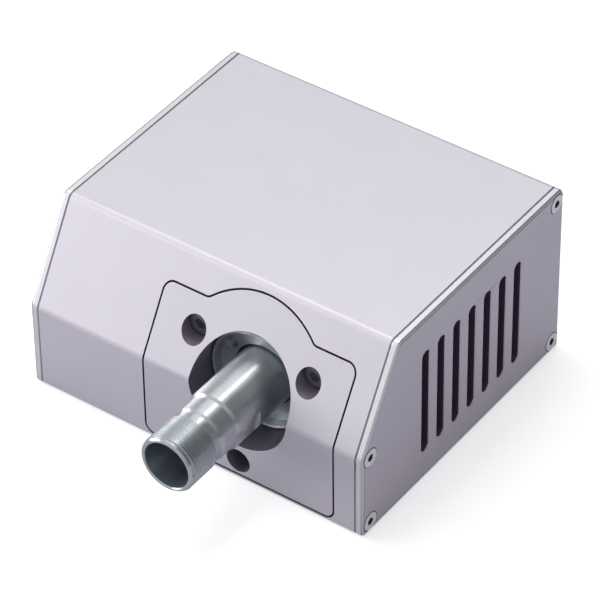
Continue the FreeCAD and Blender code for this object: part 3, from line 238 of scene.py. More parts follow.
@dataclass(frozen=True)
class Ringed(Lined):
    """A turned finish: its rings draw each reflection out along the turning axis."""

    stretch: float = 0.95
    quarter_turn: float = 0.25

    def surface(self, tree: Tree, place: Socket) -> bpy.types.Node:
        """Builds the shader, with its reflections stretched.

        Args:
            tree: The material's node tree.
            place: The Object coordinates.

        Returns:
            The Principled shader.
        """
        shader = super().surface(tree, place)
        rings = add(tree, "ShaderNodeTangent", direction_type="RADIAL", axis="Y")
        shader.inputs["Anisotropic"].default_value = self.stretch
        shader.inputs["Anisotropic Rotation"].default_value = self.quarter_turn
        tree.links.new(rings.outputs["Tangent"], shader.inputs["Tangent"])
        return shader


@dataclass(frozen=True)
class Boarded(Finish):
    """Circuit board: solder mask over faint copper tracks."""

    def pattern(self, tree: Tree, place: Socket) -> Socket:
        """Blocks of straight tracks.

        Args:
            tree: The material's node tree.
            place: The Object coordinates.

        Returns:
            The pattern's height, nought to one.
        """
        tracks = add(tree, "ShaderNodeTexVoronoi", {"Vector": place, "Scale": grains(self.grain)},
                     distance="CHEBYCHEV", feature="F1")
        return tracks.outputs["Distance"]


# Bead-blasted and clear-anodised aluminium: an even matt surface with a cool lilac cast. The
# blasting leaves 0.1 mm dimples, drawn at 0.3 mm so that they show.
SHELL_ANODISED = Finish("blasted_anodised_shell", "#E0DCE6", 0.48, 0.6, 0.3, 0.004, 0.02)
PLATE_ANODISED = Finish("blasted_anodised_plate", "#DCD7E3", 0.45, 0.6, 0.3, 0.004, 0.025)
BLOCK_ANODISED = Finish("blasted_anodised_block", "#DDD9E4", 0.45, 0.6, 0.3, 0.004, 0.02)
# Painted shade: dark, duller copies of the anodising stand in for the shade in the vent slots, the
# plate screws' sockets and broken edges, the block's counterbores and big bore, and the seam.
RECESS_PAINTED_SHADE = Finish("recess_painted_shade", "#4E435C", 0.6, 0.3, 0.4, 0.004, 0.04)
BLOCK_BORE_PAINTED_SHADE = Finish("block_bore_painted_shade", "#7D7685", 0.5, 0.5, 0.4, 0.004, 0.04)
SEAM_PAINTED_SHADE = Finish("seam_painted_shade", "#2B2630", 0.6, 0.3, 0.4, 0.004, 0.04)
# Painted highlight: the plates' rims take a brighter, glossier copy of the anodising. Their
# chamfers are glossier, so they mirror the room.
RIM_PAINTED_HIGHLIGHT = Finish("plate_rim_painted_highlight", "#F3F1F7", 0.34, 0.7, 0.3, 0.003, 0.03)
CHAMFER_CUT = Finish("cut_plate_chamfer", "#D9D6DF", 0.22, 1.0, 0.3, 0.002, 0.03)
# Turned and ground tool steel: bright, with fine rings from the feed, drawn at 0.35 mm. The cap is
# turned only, so it is softer.
SPINDLE_STEEL = Ringed("ground_spindle_steel", "#D3D8DC", 0.31, 1.0, 0.35, 0.012, 0.2)
CAP_STEEL = Ringed("turned_cap_steel", "#C3CACF", 0.42, 0.9, 0.4, 0.02, 0.1)
# Rolled thread flanks: smooth and bright, so each turn carries its own thin highlight.
THREAD_STEEL = Lined("rolled_thread_steel", "#C9CED3", 0.3, 1.0, 0.35, 0.003, 0.1)
# The collet bore takes painted shade: a darker steel that stands for the shade down in it.
COLLET_BORE_PAINTED_SHADE = Finish("collet_bore_painted_shade", "#8A939A", 0.4, 0.9, 0.35, 0.004, 0.05)
# Zinc-plated screws: a soft pale shine with a slight grain.
SCREW_ZINC = Finish("plated_screw_steel", "#F4F2F7", 0.36, 0.3, 0.3, 0.002, 0.05)
# Plain steel socket screws, down in the block's counterbores: darker and glossier.
SCREW_PLAIN = Finish("plain_steel_screw", "#9A97A2", 0.3, 0.9, 0.3, 0.002, 0.05)
# Zinc-plated inserts: greyer, with the lines of their turning.
INSERT_ZINC = Lined("plated_insert", "#A8A7A6", 0.35, 1.0, 0.3, 0.002, 0.05)
# Ground bearing rings and balls: close to a mirror, with the finest lines, drawn at 0.25 mm.
BEARING_STEEL = Lined("ground_bearing_steel", "#C9CBCE", 0.14, 1.0, 0.25, 0.0008, 0.02)
# Pressed brass: warm, with a soft sheen.
CAGE_BRASS = Finish("pressed_cage_brass", "#B8934F", 0.32, 1.0, 0.35, 0.002, 0.05)
# Pressed sheet steel: the rolled sheet's faint lines under a grey shine.
SHIELD_STEEL = Lined("pressed_shield_steel", "#94969A", 0.32, 1.0, 0.3, 0.001, 0.04)
# Phosphated spring steel: near black and slightly blotched.
SPRING_STEEL = Finish("phosphated_spring_steel", "#3A3A3D", 0.5, 0.8, 0.3, 0.003, 0.08)
# Plated deep-drawn steel: dark, with a satin shine.
CAN_STEEL = Finish("plated_can_steel", "#3E4045", 0.38, 0.9, 0.4, 0.002, 0.06)
# Sintered ferrite: a dull grey black, coarse and pitted.
FERRITE = Finish("sintered_ferrite", "#2B2B2D", 0.75, 0.0, 0.25, 0.01, 0.12)
# Stacked steel sheets, 0.5 mm thick: grey lines round the rotor.
LAMINATION = Lined("stacked_lamination", "#5B5856", 0.5, 0.9, 0.5, 0.02, 0.14)
# Varnished wire, 0.6 mm thick: glossy orange, with its turns drawn as lines.
COPPER = Lined("varnished_copper_wire", "#B3663A", 0.28, 1.0, 0.6, 0.05, 0.12, Turning.UPRIGHT)
# Turned copper: bright, with the tool's rings.
COMMUTATOR_COPPER = Lined("turned_commutator_copper", "#B87548", 0.3, 1.0, 0.3, 0.002, 0.06)
# Moulded nylon: near black, with a soft sheen.
FAN_NYLON = Finish("moulded_fan_nylon", "#1E1E20", 0.45, 0.0, 0.5, 0.004, 0.06)
# Drawn brass: yellow and bright.
BRASS = Finish("drawn_brass", "#C29B55", 0.28, 1.0, 0.4, 0.002, 0.05)
# Pressed carbon: a black that takes no shine.
CARBON = Finish("pressed_carbon", "#1A1A1A", 0.8, 0.0, 0.2, 0.008, 0.15)
# Silicone insulation: a matt rubber skin.
RED_SLEEVE = Finish("red_silicone_sleeve", "#A31E1B", 0.5, 0.0, 0.5, 0.002, 0.04)
BLACK_SLEEVE = Finish("black_silicone_sleeve", "#161616", 0.5, 0.0, 0.5, 0.002, 0.06)
# Solder mask: glossy green over the tracks, drawn 1.8 mm wide.
SOLDER_MASK = Boarded("green_solder_mask", "#12503A", 0.3, 0.0, 1.8, 0.02, 0.2)
# Shrink sleeve: dark blue, taut and glossy.
CAPACITOR_SLEEVE = Finish("capacitor_shrink_sleeve", "#1D2233", 0.3, 0.0, 0.8, 0.003, 0.05)
# Moulded epoxy: a matt charcoal with a fine grain.
EPOXY_PACKAGE = Finish("moulded_epoxy_package", "#1B1B1C", 0.6, 0.0, 0.25, 0.005, 0.1)
# Black-anodised aluminium: near black, with a metal's dull shine.
SINK_ANODISED = Finish("black_anodised_sink", "#262629", 0.45, 0.6, 0.3, 0.004, 0.06)
# Moulded nylon of the connectors: clean and even, with soft highlights.
TERMINAL_NYLON = Finish("blue_terminal_nylon", "#1D4E77", 0.4, 0.0, 0.6, 0.003, 0.04)
SOCKET_NYLON = Finish("black_socket_nylon", "#19191B", 0.42, 0.0, 0.4, 0.004, 0.06)

NODE_FINISHES: dict[str, Finish] = {
    "housing_shell": SHELL_ANODISED,
    "left_side_plate": PLATE_ANODISED,
    "right_side_plate": PLATE_ANODISED,
    "left_plate_screws": SCREW_ZINC,
    "right_plate_screws": SCREW_ZINC,
    "spindle_mount_block": BLOCK_ANODISED,
    "block_cap_screws": SCREW_PLAIN,
    "block_base_screws": SCREW_ZINC,
    "carriage_thread_inserts": INSERT_ZINC,
    "motor_front_cap": CAP_STEEL,
    "spindle_shaft": SPINDLE_STEEL,
    "front_bearing_outer_ring": BEARING_STEEL,
    "front_bearing_inner_ring": BEARING_STEEL,
    "front_bearing_balls": BEARING_STEEL,
    "front_bearing_cage": CAGE_BRASS,
    "front_bearing_shields": SHIELD_STEEL,
    "front_bearing_snap_ring": SPRING_STEEL,
    "rear_bearing_outer_ring": BEARING_STEEL,
    "rear_bearing_inner_ring": BEARING_STEEL,
    "rear_bearing_balls": BEARING_STEEL,
    "rear_bearing_cage": CAGE_BRASS,
    "rear_bearing_shields": SHIELD_STEEL,
    "shaft_circlip": SPRING_STEEL,
    "preload_washer": SPRING_STEEL,
    "brush_springs": SPRING_STEEL,
    "motor_can": CAN_STEEL,
    "motor_rear_cap": CAN_STEEL,
    "motor_magnets": FERRITE,
    "rotor_core": LAMINATION,
    "rotor_windings": COPPER,
    "power_choke": COPPER,
    "commutator": COMMUTATOR_COPPER,
    "cooling_fan": FAN_NYLON,
    "brush_holders": BRASS,
    "motor_terminals": BRASS,
    "board_standoffs": BRASS,
    "carbon_brushes": CARBON,
    "motor_lead_positive": RED_SLEEVE,
    "motor_lead_negative": BLACK_SLEEVE,
    "control_board": SOLDER_MASK,
    "board_screws": SCREW_ZINC,
    "smoothing_capacitors": CAPACITOR_SLEEVE,
    "driver_transistors": EPOXY_PACKAGE,
    "driver_heat_sink": SINK_ANODISED,
    "board_terminal_block": TERMINAL_NYLON,
    "cable_socket": SOCKET_NYLON,
    "socket_screws": SCREW_ZINC,
}


# Meshes


def new_piece(name: str, shape: Shape) -> Piece:
    """Makes an object from a bmesh, smooth but for its sharp edges.

    Args:
        name: The object's name.
        shape: The bmesh, which is freed.

    Returns:
        The object, linked to the scene.
    """
    mesh = bpy.data.meshes.new(name)
    shape.to_mesh(mesh)
    shape.free()
    mesh.shade_smooth()
    mesh.set_sharp_from_angle(angle=math.radians(SHARP_TURN))
    piece = bpy.data.objects.new(name, mesh)
    bpy.context.scene.collection.objects.link(piece)
    return piece


@dataclass(frozen=True)
class Axis:
    """A turning axis that runs along Y, in millimetres."""

    x: float
    z: float
    front: float

    def point(self, radius: float, station: float, angle: float = 0.0) -> Vector:
        """A point about the axis, in metres.

        Args:
            radius: Distance from the axis.
            station: Depth behind the front face.
            angle: Degrees from +X towards +Z.

        Returns:
            The point in the part's frame.
        """
        turn = math.radians(angle)
        return Vector((self.x + radius * math.cos(turn), self.front + station,
                       self.z + radius * math.sin(turn))) * MM

    def reach(self, place: Vector) -> float:
        """How far a place in millimetres is from the axis."""
        return math.hypot(place.x - self.x, place.z - self.z)


SPINDLE = Axis(11.8, 22.65, -38.7)


def section(shape: Shape, axis: Axis, corners: Sequence[Corner],
            closed: bool) -> list[bmesh.types.BMVert | bmesh.types.BMEdge]:
    """Draws a half section and rounds its corners.

    Args:
        shape: The bmesh to draw in.
        axis: The turning axis.
        corners: (radius, station, round) in millimetres.
        closed: Whether the last corner joins the first.

    Returns:
        The section's vertices and edges.
    """
    verts = [shape.verts.new(axis.point(radius, station)) for radius, station, _ in corners]
    ends = zip(verts, verts[1:] + verts[:1]) if closed else zip(verts, verts[1:])
    for pair in list(ends):
        shape.edges.new(pair)
    for vert, (_, _, rounding) in zip(verts, corners):
        if rounding:
            bmesh.ops.bevel(shape, geom=[vert], offset=rounding * MM, offset_type="OFFSET",
                            segments=3, profile=0.5, affect="VERTICES", material=-1)
    return [*shape.verts, *shape.edges]


def turned(name: str, axis: Axis, corners: Sequence[Corner], closed: bool = True,
           steps: int = 160) -> Piece:
    """Turns a half section into a piece.

    Args:
        name: The piece's name.
        axis: The turning axis.
        corners: (radius, station, round) in millimetres.
        closed: Whether the section is a loop, rather than ending on the axis.
        steps: Facets round the piece.

    Returns:
        The piece.
    """
    shape = bmesh.new()
    geom = section(shape, axis, corners, closed)
    bmesh.ops.spin(shape, geom=geom, cent=axis.point(0, 0), axis=(0, 1, 0), angle=math.tau,
                   steps=steps, use_merge=True)
    bmesh.ops.remove_doubles(shape, verts=shape.verts, dist=1e-7)
    bmesh.ops.recalc_face_normals(shape, faces=shape.faces)
    return new_piece(name, shape)


def cutter(shape: Shape) -> Piece:
    """Makes a cutting tool.

    Args:
        shape: A closed bmesh, which is freed.

    Returns:
        The tool, linked to the scene.
    """
    bmesh.ops.recalc_face_normals(shape, faces=shape.faces)
    return new_piece("cutting_tool", shape)


def carved(piece: Piece, tools: Iterable[Piece]) -> Piece:
    """Cuts tools out of a piece and deletes them.

    Args:
        piece: The piece to cut.
        tools: Closed meshes.

    Returns:
        The piece, with its new mesh.
    """
    tools = list(tools)
    for tool in tools:
        cut = piece.modifiers.new("cut", "BOOLEAN")
        cut.object = tool
        cut.operation = "DIFFERENCE"
        cut.solver = "EXACT"
    ready = piece.evaluated_get(bpy.context.evaluated_depsgraph_get())
    mesh = bpy.data.meshes.new_from_object(ready)
    piece.modifiers.clear()
    piece.data = mesh
    mesh.set_sharp_from_angle(angle=math.radians(SHARP_TURN))
    for tool in tools:
        bpy.data.objects.remove(tool)
    return piece


def finish_index(piece: Piece, finish: Finish) -> int:
    """The place of a finish among a piece's materials, added if it isn't there.

    Args:
        piece: The piece.
        finish: The finish.

    Returns:
        The material's index.
    """
    if finish.name not in piece.data.materials:
        piece.data.materials.append(finish.material())
    return piece.data.materials.find(finish.name)


def break_edges(piece: Piece, width: float, finish: Finish | None) -> None:
    """Breaks a piece's sharp edges, as deburring does, and evens its shading.

    Args:
        piece: The piece.
        width: Width of the broken edge in millimetres.
        finish: The broken edge's own finish, where it has one.
    """
    least_turn = 35
    piece.data.shade_smooth()
    bevel = piece.modifiers.new("broken_edges", "BEVEL")
    bevel.width = width * MM
    bevel.segments = 2
    if finish:
        bevel.material = finish_index(piece, finish)
    bevel.limit_method = "ANGLE"
    bevel.angle_limit = math.radians(least_turn)
    bevel.use_clamp_overlap = False
    bevel.harden_normals = True
    even = piece.modifiers.new("even_shading", "WEIGHTED_NORMAL")
    even.keep_sharp = True


@dataclass
class Workshop:
    """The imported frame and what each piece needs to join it."""

    nodes: dict[str, Piece]
    slots: dict[str, str]
    body_of: dict[str, str] = field(default_factory=dict)

    @classmethod
    def open(cls) -> Workshop:
        """Loads the frame.

        Returns:
            The workshop, with each node's body and material slot.
        """
        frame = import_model()
        record = frame["record"]
        bodies = {node: body for body, nodes in record["behaviour"]["bodies"].items()
                  for node in nodes}
        slots = {entry["node"]: entry["material_slot"] for entry in record["subparts"]}
        return cls(frame["nodes"], slots, bodies)

    def fit(self, piece: Piece, node: str, finish: Finish | None = None) -> Piece:
        """Dresses a piece as the node that it stands for, and rides it on the node's body.

        Args:
            piece: The new piece.
            node: The node that it replaces.
            finish: The piece's finish, where it isn't the node's.

        Returns:
            The piece.
        """
        piece.data.materials.clear()
        piece.data.materials.append((finish or NODE_FINISHES[node]).material())
        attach(piece, self.body_of[node])
        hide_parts(node)
        log.info("%s stands for %s", piece.name, node)
        return piece

    def shade(self, piece: Piece, finish: Finish,
              chosen: Callable[[Vector, Vector], bool]) -> None:
        """Gives some of a piece's faces a finish of their own.

        Args:
            piece: The piece, fitted before.
            finish: The finish.
            chosen: Tells from a face's centre in millimetres and its normal whether the face
                takes the finish.
        """
        index = finish_index(piece, finish)
        for face in piece.data.polygons:
            if chosen(face.center / MM, face.normal):
                face.material_index = index

    def welded(self, node: str) -> Piece:
        """A copy of a node's mesh with its triangles welded and its flat faces joined.

        Args:
            node: The node to copy.

        Returns:
            The copy, named for the node.
        """
        flat_turn = 0.4
        shape = bmesh.new()
        shape.from_mesh(self.nodes[node].data)
        bmesh.ops.remove_doubles(shape, verts=shape.verts, dist=1e-6)
        bmesh.ops.dissolve_limit(shape, angle_limit=math.radians(flat_turn), verts=shape.verts,
                                 edges=shape.edges)
        return new_piece(f"{node}_worked", shape)

    def dress_rest(self) -> None:
        """Gives every node that still shows its finish."""
        for node, thing in self.nodes.items():
            material = NODE_FINISHES[node].material()
            if not thing.material_slots:
                thing.data.materials.append(material)
            for slot in thing.material_slots:
                slot.material = material
        log.info("%d nodes dressed", len(self.nodes))


# The nose and the cap


@dataclass
class SpindleShaft:
    """The turned shaft: threaded nose, pilot, wrench flats and a plain body."""

    nose: float = 6.92
    thread_depth: float = 0.42
    pitch: float = 0.745
    turns: float = 11.0
    tip: float = -25.2
    body: float = 7.27
    flat_across: float = 13.0
    flat_turn: float = -13.75
    flat_start: float = -9.3
    flat_length: float = 8.2
    mouth: float = 5.75
    taper_foot: float = 3.853
    taper_end: float = -11.7
    drilling: float = 3.6
    drilling_end: float = 2.8

    def outline(self) -> list[Corner]:
        """The shaft's half section, from the collet mouth out and back to the blind bore.

        Returns:
            (radius, station, round) in millimetres.
        """
        root = self.nose - self.thread_depth
        outside = [
            (self.mouth + 0.2, self.tip, 0.08), (root - 0.08, self.tip, 0.08),
            (self.nose - 0.12, self.tip + 0.42, 0.05), (root, self.tip + 0.75, 0),
            (root, -16.75, 0), (6.3, -16.3, 0.08), (6.3, -14.0, 0.1), (6.7, -13.3, 0.12),
            (6.7, -8.9, 0.12), (self.body, -8.2, 0.12)]
        bearing, rotor, rear = 6.0, 5.0, 4.0
        inside = [
            (self.body, 17.2, 0.1), (bearing, 17.2, 0.1), (bearing, 25.25, 0),
            (bearing - 0.4, 25.25, 0), (bearing - 0.4, 26.25, 0), (bearing, 26.25, 0),
            (bearing, 27.35, 0.1), (rotor, 27.35, 0), (rotor, 63.4, 0.1), (rear, 63.4, 0),
            (rear, 72.2, 0), (rear - 0.4, 72.6, 0)]
        bore = [
            (self.drilling, self.drilling_end - 2, 0), (self.drilling, self.taper_end, 0),
            (self.taper_foot, self.taper_end, 0.05), (self.mouth, self.tip + 0.2, 0.05)]
        return [*outside, *inside, (0, 72.6, 0), (0, self.drilling_end, 0), *bore]

    def thread(self) -> Piece:
        """The nose thread: one ridge wound round the core.

        Returns:
            A closed helical ridge.
        """
        shape = bmesh.new()
        crest, root = self.nose, self.nose - self.thread_depth - 0.06
        start = self.tip + 0.42
        corners = [(root, start), (crest, start + 0.27), (crest, start + 0.39),
                   (root, start + 0.66)]
        verts = [shape.verts.new(SPINDLE.point(radius, station)) for radius, station in corners]
        edges = [shape.edges.new(pair) for pair in zip(verts, verts[1:] + verts[:1])]
        steps = 96
        bmesh.ops.spin(shape, geom=verts + edges, cent=SPINDLE.point(0, 0), axis=(0, 1, 0),
                       dvec=(0, self.pitch * MM / steps, 0), angle=math.tau * self.turns,
                       steps=int(steps * self.turns))
        bmesh.ops.holes_fill(shape, edges=[edge for edge in shape.edges if edge.is_boundary],
                             sides=len(corners))
        bmesh.ops.recalc_face_normals(shape, faces=shape.faces)
        return new_piece("nose_thread", shape)

    def flat(self, side: int) -> Piece:
        """The tool that cuts one wrench flat.

        Args:
            side: 0 or 1, half a turn apart.

        Returns:
            A box outside the flat.
        """
        shape = bmesh.new()
        reach, span = 6.0, 20.0
        middle = self.flat_across / 2 + reach / 2
        angle = self.flat_turn + 180 * side
        centre = SPINDLE.point(middle, self.flat_start + self.flat_length / 2, angle)
        turn = Matrix.Rotation(-math.radians(angle), 4, "Y")
        size = Matrix.Diagonal((reach * MM, self.flat_length * MM, span * MM, 1))
        bmesh.ops.create_cube(shape, size=1, matrix=Matrix.Translation(centre) @ turn @ size)
        return cutter(shape)

    def in_collet_bore(self, centre: Vector, _: Vector) -> bool:
        """Whether a face lies in the collet's taper or the drilling behind it.

        Args:
            centre: The face's centre in millimetres.
            _: Its normal, which doesn't matter here.

        Returns:
            True for a face of the bore.
        """
        depth = centre.y - SPINDLE.front
        return (SPINDLE.reach(centre) < self.mouth + 0.05
                and self.tip + 0.2 < depth < self.drilling_end + 0.2)

    def build(self, shop: Workshop) -> None:
        """Builds the shaft and its thread.

        Args:
            shop: The workshop.
        """
        corners = self.outline()
        first = next(i for i, corner in enumerate(corners) if corner[0] == 0)
        opened = [*corners[first + 1:], *corners[:first + 1]]
        shaft = turned("turned_shaft", SPINDLE, opened, closed=False, steps=192)
        carved(shaft, [self.flat(0), self.flat(1)])
        shop.fit(shaft, "spindle_shaft")
        # Painted shade down the collet bore.
        shop.shade(shaft, COLLET_BORE_PAINTED_SHADE, self.in_collet_bore)
        shop.fit(self.thread(), "spindle_shaft", THREAD_STEEL)


@dataclass
class FrontCap:
    """The motor's front cap: a rimmed boss with three holes, seen down the block's bore."""

    boss: float = 12.6
    boss_front: float = 8.1
    rim: float = 0.6
    face: float = 10.4
    hole_circle: float = 10.1
    hole: float = 1.5
    screw_hole: float = 1.55
    gap: float = 7.77
    flange: float = 20.0
    spigot: float = 15.95
    bearing: float = 14.05
    ring_groove: float = 14.9

    def outline(self) -> list[Corner]:
        """The cap's half section.

        Returns:
            (radius, station, round) in millimetres.
        """
        inner = self.boss - self.rim
        return [
            (self.gap, self.face, 0.15), (inner - 0.7, self.face, 0.08),
            (inner - 0.7, self.face + 0.4, 0), (inner, self.face + 0.4, 0.08),
            (inner, self.boss_front, 0.15), (self.boss, self.boss_front, 0.2),
            (self.boss, 16.0, 0.1), (self.flange, 16.0, 0.2), (self.flange, 21.5, 0.2),
            (self.spigot, 21.5, 0), (self.spigot, 27.5, 0.2), (self.bearing, 27.5, 0.1),
            (self.bearing, 26.4, 0), (self.ring_groove, 26.4, 0), (self.ring_groove, 25.3, 0),
            (self.bearing, 25.3, 0), (self.bearing, 17.2, 0.1), (self.gap, 17.2, 0.1)]

    def drill(self, radius: float, circle: float, angle: float, start: float,
              depth: float) -> Piece:
        """The tool for one hole.

        Args:
            radius: The hole's radius.
            circle: The radius of the circle that it lies on.
            angle: Degrees from +X towards +Z.
            start: Station where the tool starts.
            depth: How far it reaches.

        Returns:
            A closed cylinder.
        """
        shape = bmesh.new()
        centre = SPINDLE.point(circle, start + depth / 2, angle)
        turn = Matrix.Rotation(math.radians(90), 4, "X")
        bmesh.ops.create_cone(shape, cap_ends=True, segments=40, radius1=radius * MM,
                              radius2=radius * MM, depth=depth * MM,
                              matrix=Matrix.Translation(centre) @ turn)
        return cutter(shape)

    def build(self, shop: Workshop) -> None:
        """Builds the cap.

        Args:
            shop: The workshop.
        """
        cap = turned("turned_front_cap", SPINDLE, self.outline())
        tools = []
        for angle in SCREW_ANGLES:
            tools.append(self.drill(self.hole, self.hole_circle, angle, self.face - 1, 5))
            tools.append(self.drill(self.hole + 0.2, self.hole_circle, angle, self.face - 1, 1.2))
            tools.append(self.drill(self.screw_hole, SCREW_CIRCLE, angle, 15, 7.5))
        shop.fit(carved(cap, tools), "motor_front_cap")


# Sheet and block


@dataclass
class Enclosure:
    """The extruded shell, the two vented plates and the flush block, with their edges broken."""

    # The shell's broken edges take painted shade, which darkens the seam round the block.
    edges: dict[str, tuple[float, Finish | None]] = field(default_factory=lambda: {
        "housing_shell": (0.08, SEAM_PAINTED_SHADE), "spindle_mount_block": (0.07, None),
        "left_side_plate": (0.2, CHAMFER_CUT), "right_side_plate": (0.2, CHAMFER_CUT),
        # The plate screws' broken edges take painted shade.
        "left_plate_screws": (0.12, RECESS_PAINTED_SHADE), "right_plate_screws": (0.12, RECESS_PAINTED_SHADE),
        "block_cap_screws": (0.08, None), "block_base_screws": (0.06, None),
        "cable_socket": (0.12, None), "socket_screws": (0.06, None),
        "carriage_thread_inserts": (0.06, None)})
    slot_front: float = -17.0
    slot_rear: float = 24.0
    slot_foot: float = 7.4
    slot_top: float = 37.0
    seam_half: float = 25.8
    seam_depth: float = 16.0
    seam_top: float = 44.2
    plate_face: float = 45.0
    socket: float = 1.25
    screw_places: tuple[tuple[float, float], ...] = (
        (-35.9, 2.8), (-35.9, 21.3), (35.9, 2.8), (35.9, 42.8))
    bore: float = 13.1
    counterbore: float = 3.15

    @cached_property
    def counterbores(self) -> list[Axis]:
        """The axes of the block's three counterbores."""
        centres = [SPINDLE.point(SCREW_CIRCLE, 0, angle) / MM for angle in SCREW_ANGLES]
        return [Axis(centre.x, centre.z, SPINDLE.front) for centre in centres]

    @staticmethod
    def in_rim(_: Vector, normal: Vector) -> bool:
        """Whether a plate's face is part of its rim or of a slot's wall, by its normal."""
        return abs(normal.x) < ACROSS

    def in_slot(self, centre: Vector, normal: Vector) -> bool:
        """Whether a plate's face is the wall of a vent slot.

        Args:
            centre: The face's centre in millimetres.
            normal: Its normal.

        Returns:
            True for a slot's wall.
        """
        return (abs(normal.x) < ACROSS and self.slot_front < centre.y < self.slot_rear
                and self.slot_foot < centre.z < self.slot_top)

    def in_bore(self, centre: Vector, normal: Vector) -> bool:
        """Whether a block's face is the wall of the big bore or of a counterbore.

        Args:
            centre: The face's centre in millimetres.
            normal: Its normal.

        Returns:
            True for a bore's wall.
        """
        return abs(normal.y) < ACROSS and (
            SPINDLE.reach(centre) < self.bore
            or any(hole.reach(centre) < self.counterbore for hole in self.counterbores))

    def in_seam(self, centre: Vector, normal: Vector) -> bool:
        """Whether a face is a wall of the seam round the block.

        Args:
            centre: The face's centre in millimetres.
            normal: Its normal.

        Returns:
            True for a wall of the seam.
        """
        ceiling = normal.z < -0.95
        return (abs(normal.y) < ACROSS and not ceiling
                and abs(centre.x - SPINDLE.x) < self.seam_half
                and centre.y < SPINDLE.front + self.seam_depth and centre.z < self.seam_top)

    def in_socket(self, centre: Vector, normal: Vector) -> bool:
        """Whether a plate screw's face is down in its hex socket.

        Args:
            centre: The face's centre in millimetres.
            normal: Its normal.

        Returns:
            True for the socket's wall and floor.
        """
        return abs(centre.x) < self.plate_face - 0.2 and any(
            math.hypot(centre.y - y, centre.z - z) < self.socket for y, z in self.screw_places)

    def build(self, shop: Workshop) -> None:
        """Works each outer node's edges, paints a highlight on the plates' rims, and paints shade
        into their slots, seams, bores and sockets.

        Args:
            shop: The workshop.
        """
        worked = {}
        for node, (width, finish) in self.edges.items():
            worked[node] = shop.welded(node)
            shop.fit(worked[node], node)
            break_edges(worked[node], width, finish)
        for side in ("left", "right"):
            # Painted highlight on the plates' rims; painted shade in their slots and the screws'
            # sockets.
            shop.shade(worked[f"{side}_side_plate"], RIM_PAINTED_HIGHLIGHT, self.in_rim)
            shop.shade(worked[f"{side}_side_plate"], RECESS_PAINTED_SHADE, self.in_slot)
            shop.shade(worked[f"{side}_plate_screws"], RECESS_PAINTED_SHADE, self.in_socket)
        # Painted shade on the walls of the seam round the block.
        shop.shade(worked["housing_shell"], SEAM_PAINTED_SHADE, self.in_seam)
        shop.shade(worked["spindle_mount_block"], SEAM_PAINTED_SHADE, self.in_seam)
        # Painted shade on the walls of the block's counterbores and big bore.
        shop.shade(worked["spindle_mount_block"], BLOCK_BORE_PAINTED_SHADE, self.in_bore)


# Studio


@dataclass(frozen=True)
class PhotoCamera:
    """The camera solved from the photograph's edges. Its place is across, up and back, in mm."""

    azimuth: float = 36.07
    elevation: float = 40.38
    roll: float = -0.77
    place: tuple[float, float, float] = (23.04, 34.56, 867.51)
    lens: float = 236.3

    def build(self) -> None:
        """Places the camera and makes it the scene's."""
        turn, lift, tilt = (math.radians(a) for a in (self.azimuth, self.elevation, self.roll))
        back = Vector((math.sin(turn) * math.cos(lift), -math.cos(turn) * math.cos(lift),
                       math.sin(lift)))
        right = Vector((0, 0, 1)).cross(back).normalized()
        up = back.cross(right)
        level = Matrix((right, up, back)).transposed()
        rolled = level @ Matrix.Rotation(tilt, 3, "Z")
        data = bpy.data.cameras.new("photo_camera")
        data.lens = self.lens
        data.sensor_width = 36.0
        data.clip_start = 0.01
        camera = bpy.data.objects.new("photo_camera", data)
        origin = Vector((0, SPINDLE.front, 0))
        place = (rolled @ Vector(self.place) + origin) * MM
        camera.matrix_world = Matrix.Translation(place) @ rolled.to_4x4()
        bpy.context.scene.collection.objects.link(camera)
        bpy.context.scene.camera = camera
        log.info("camera at %s", tuple(round(v, 4) for v in camera.matrix_world.translation))


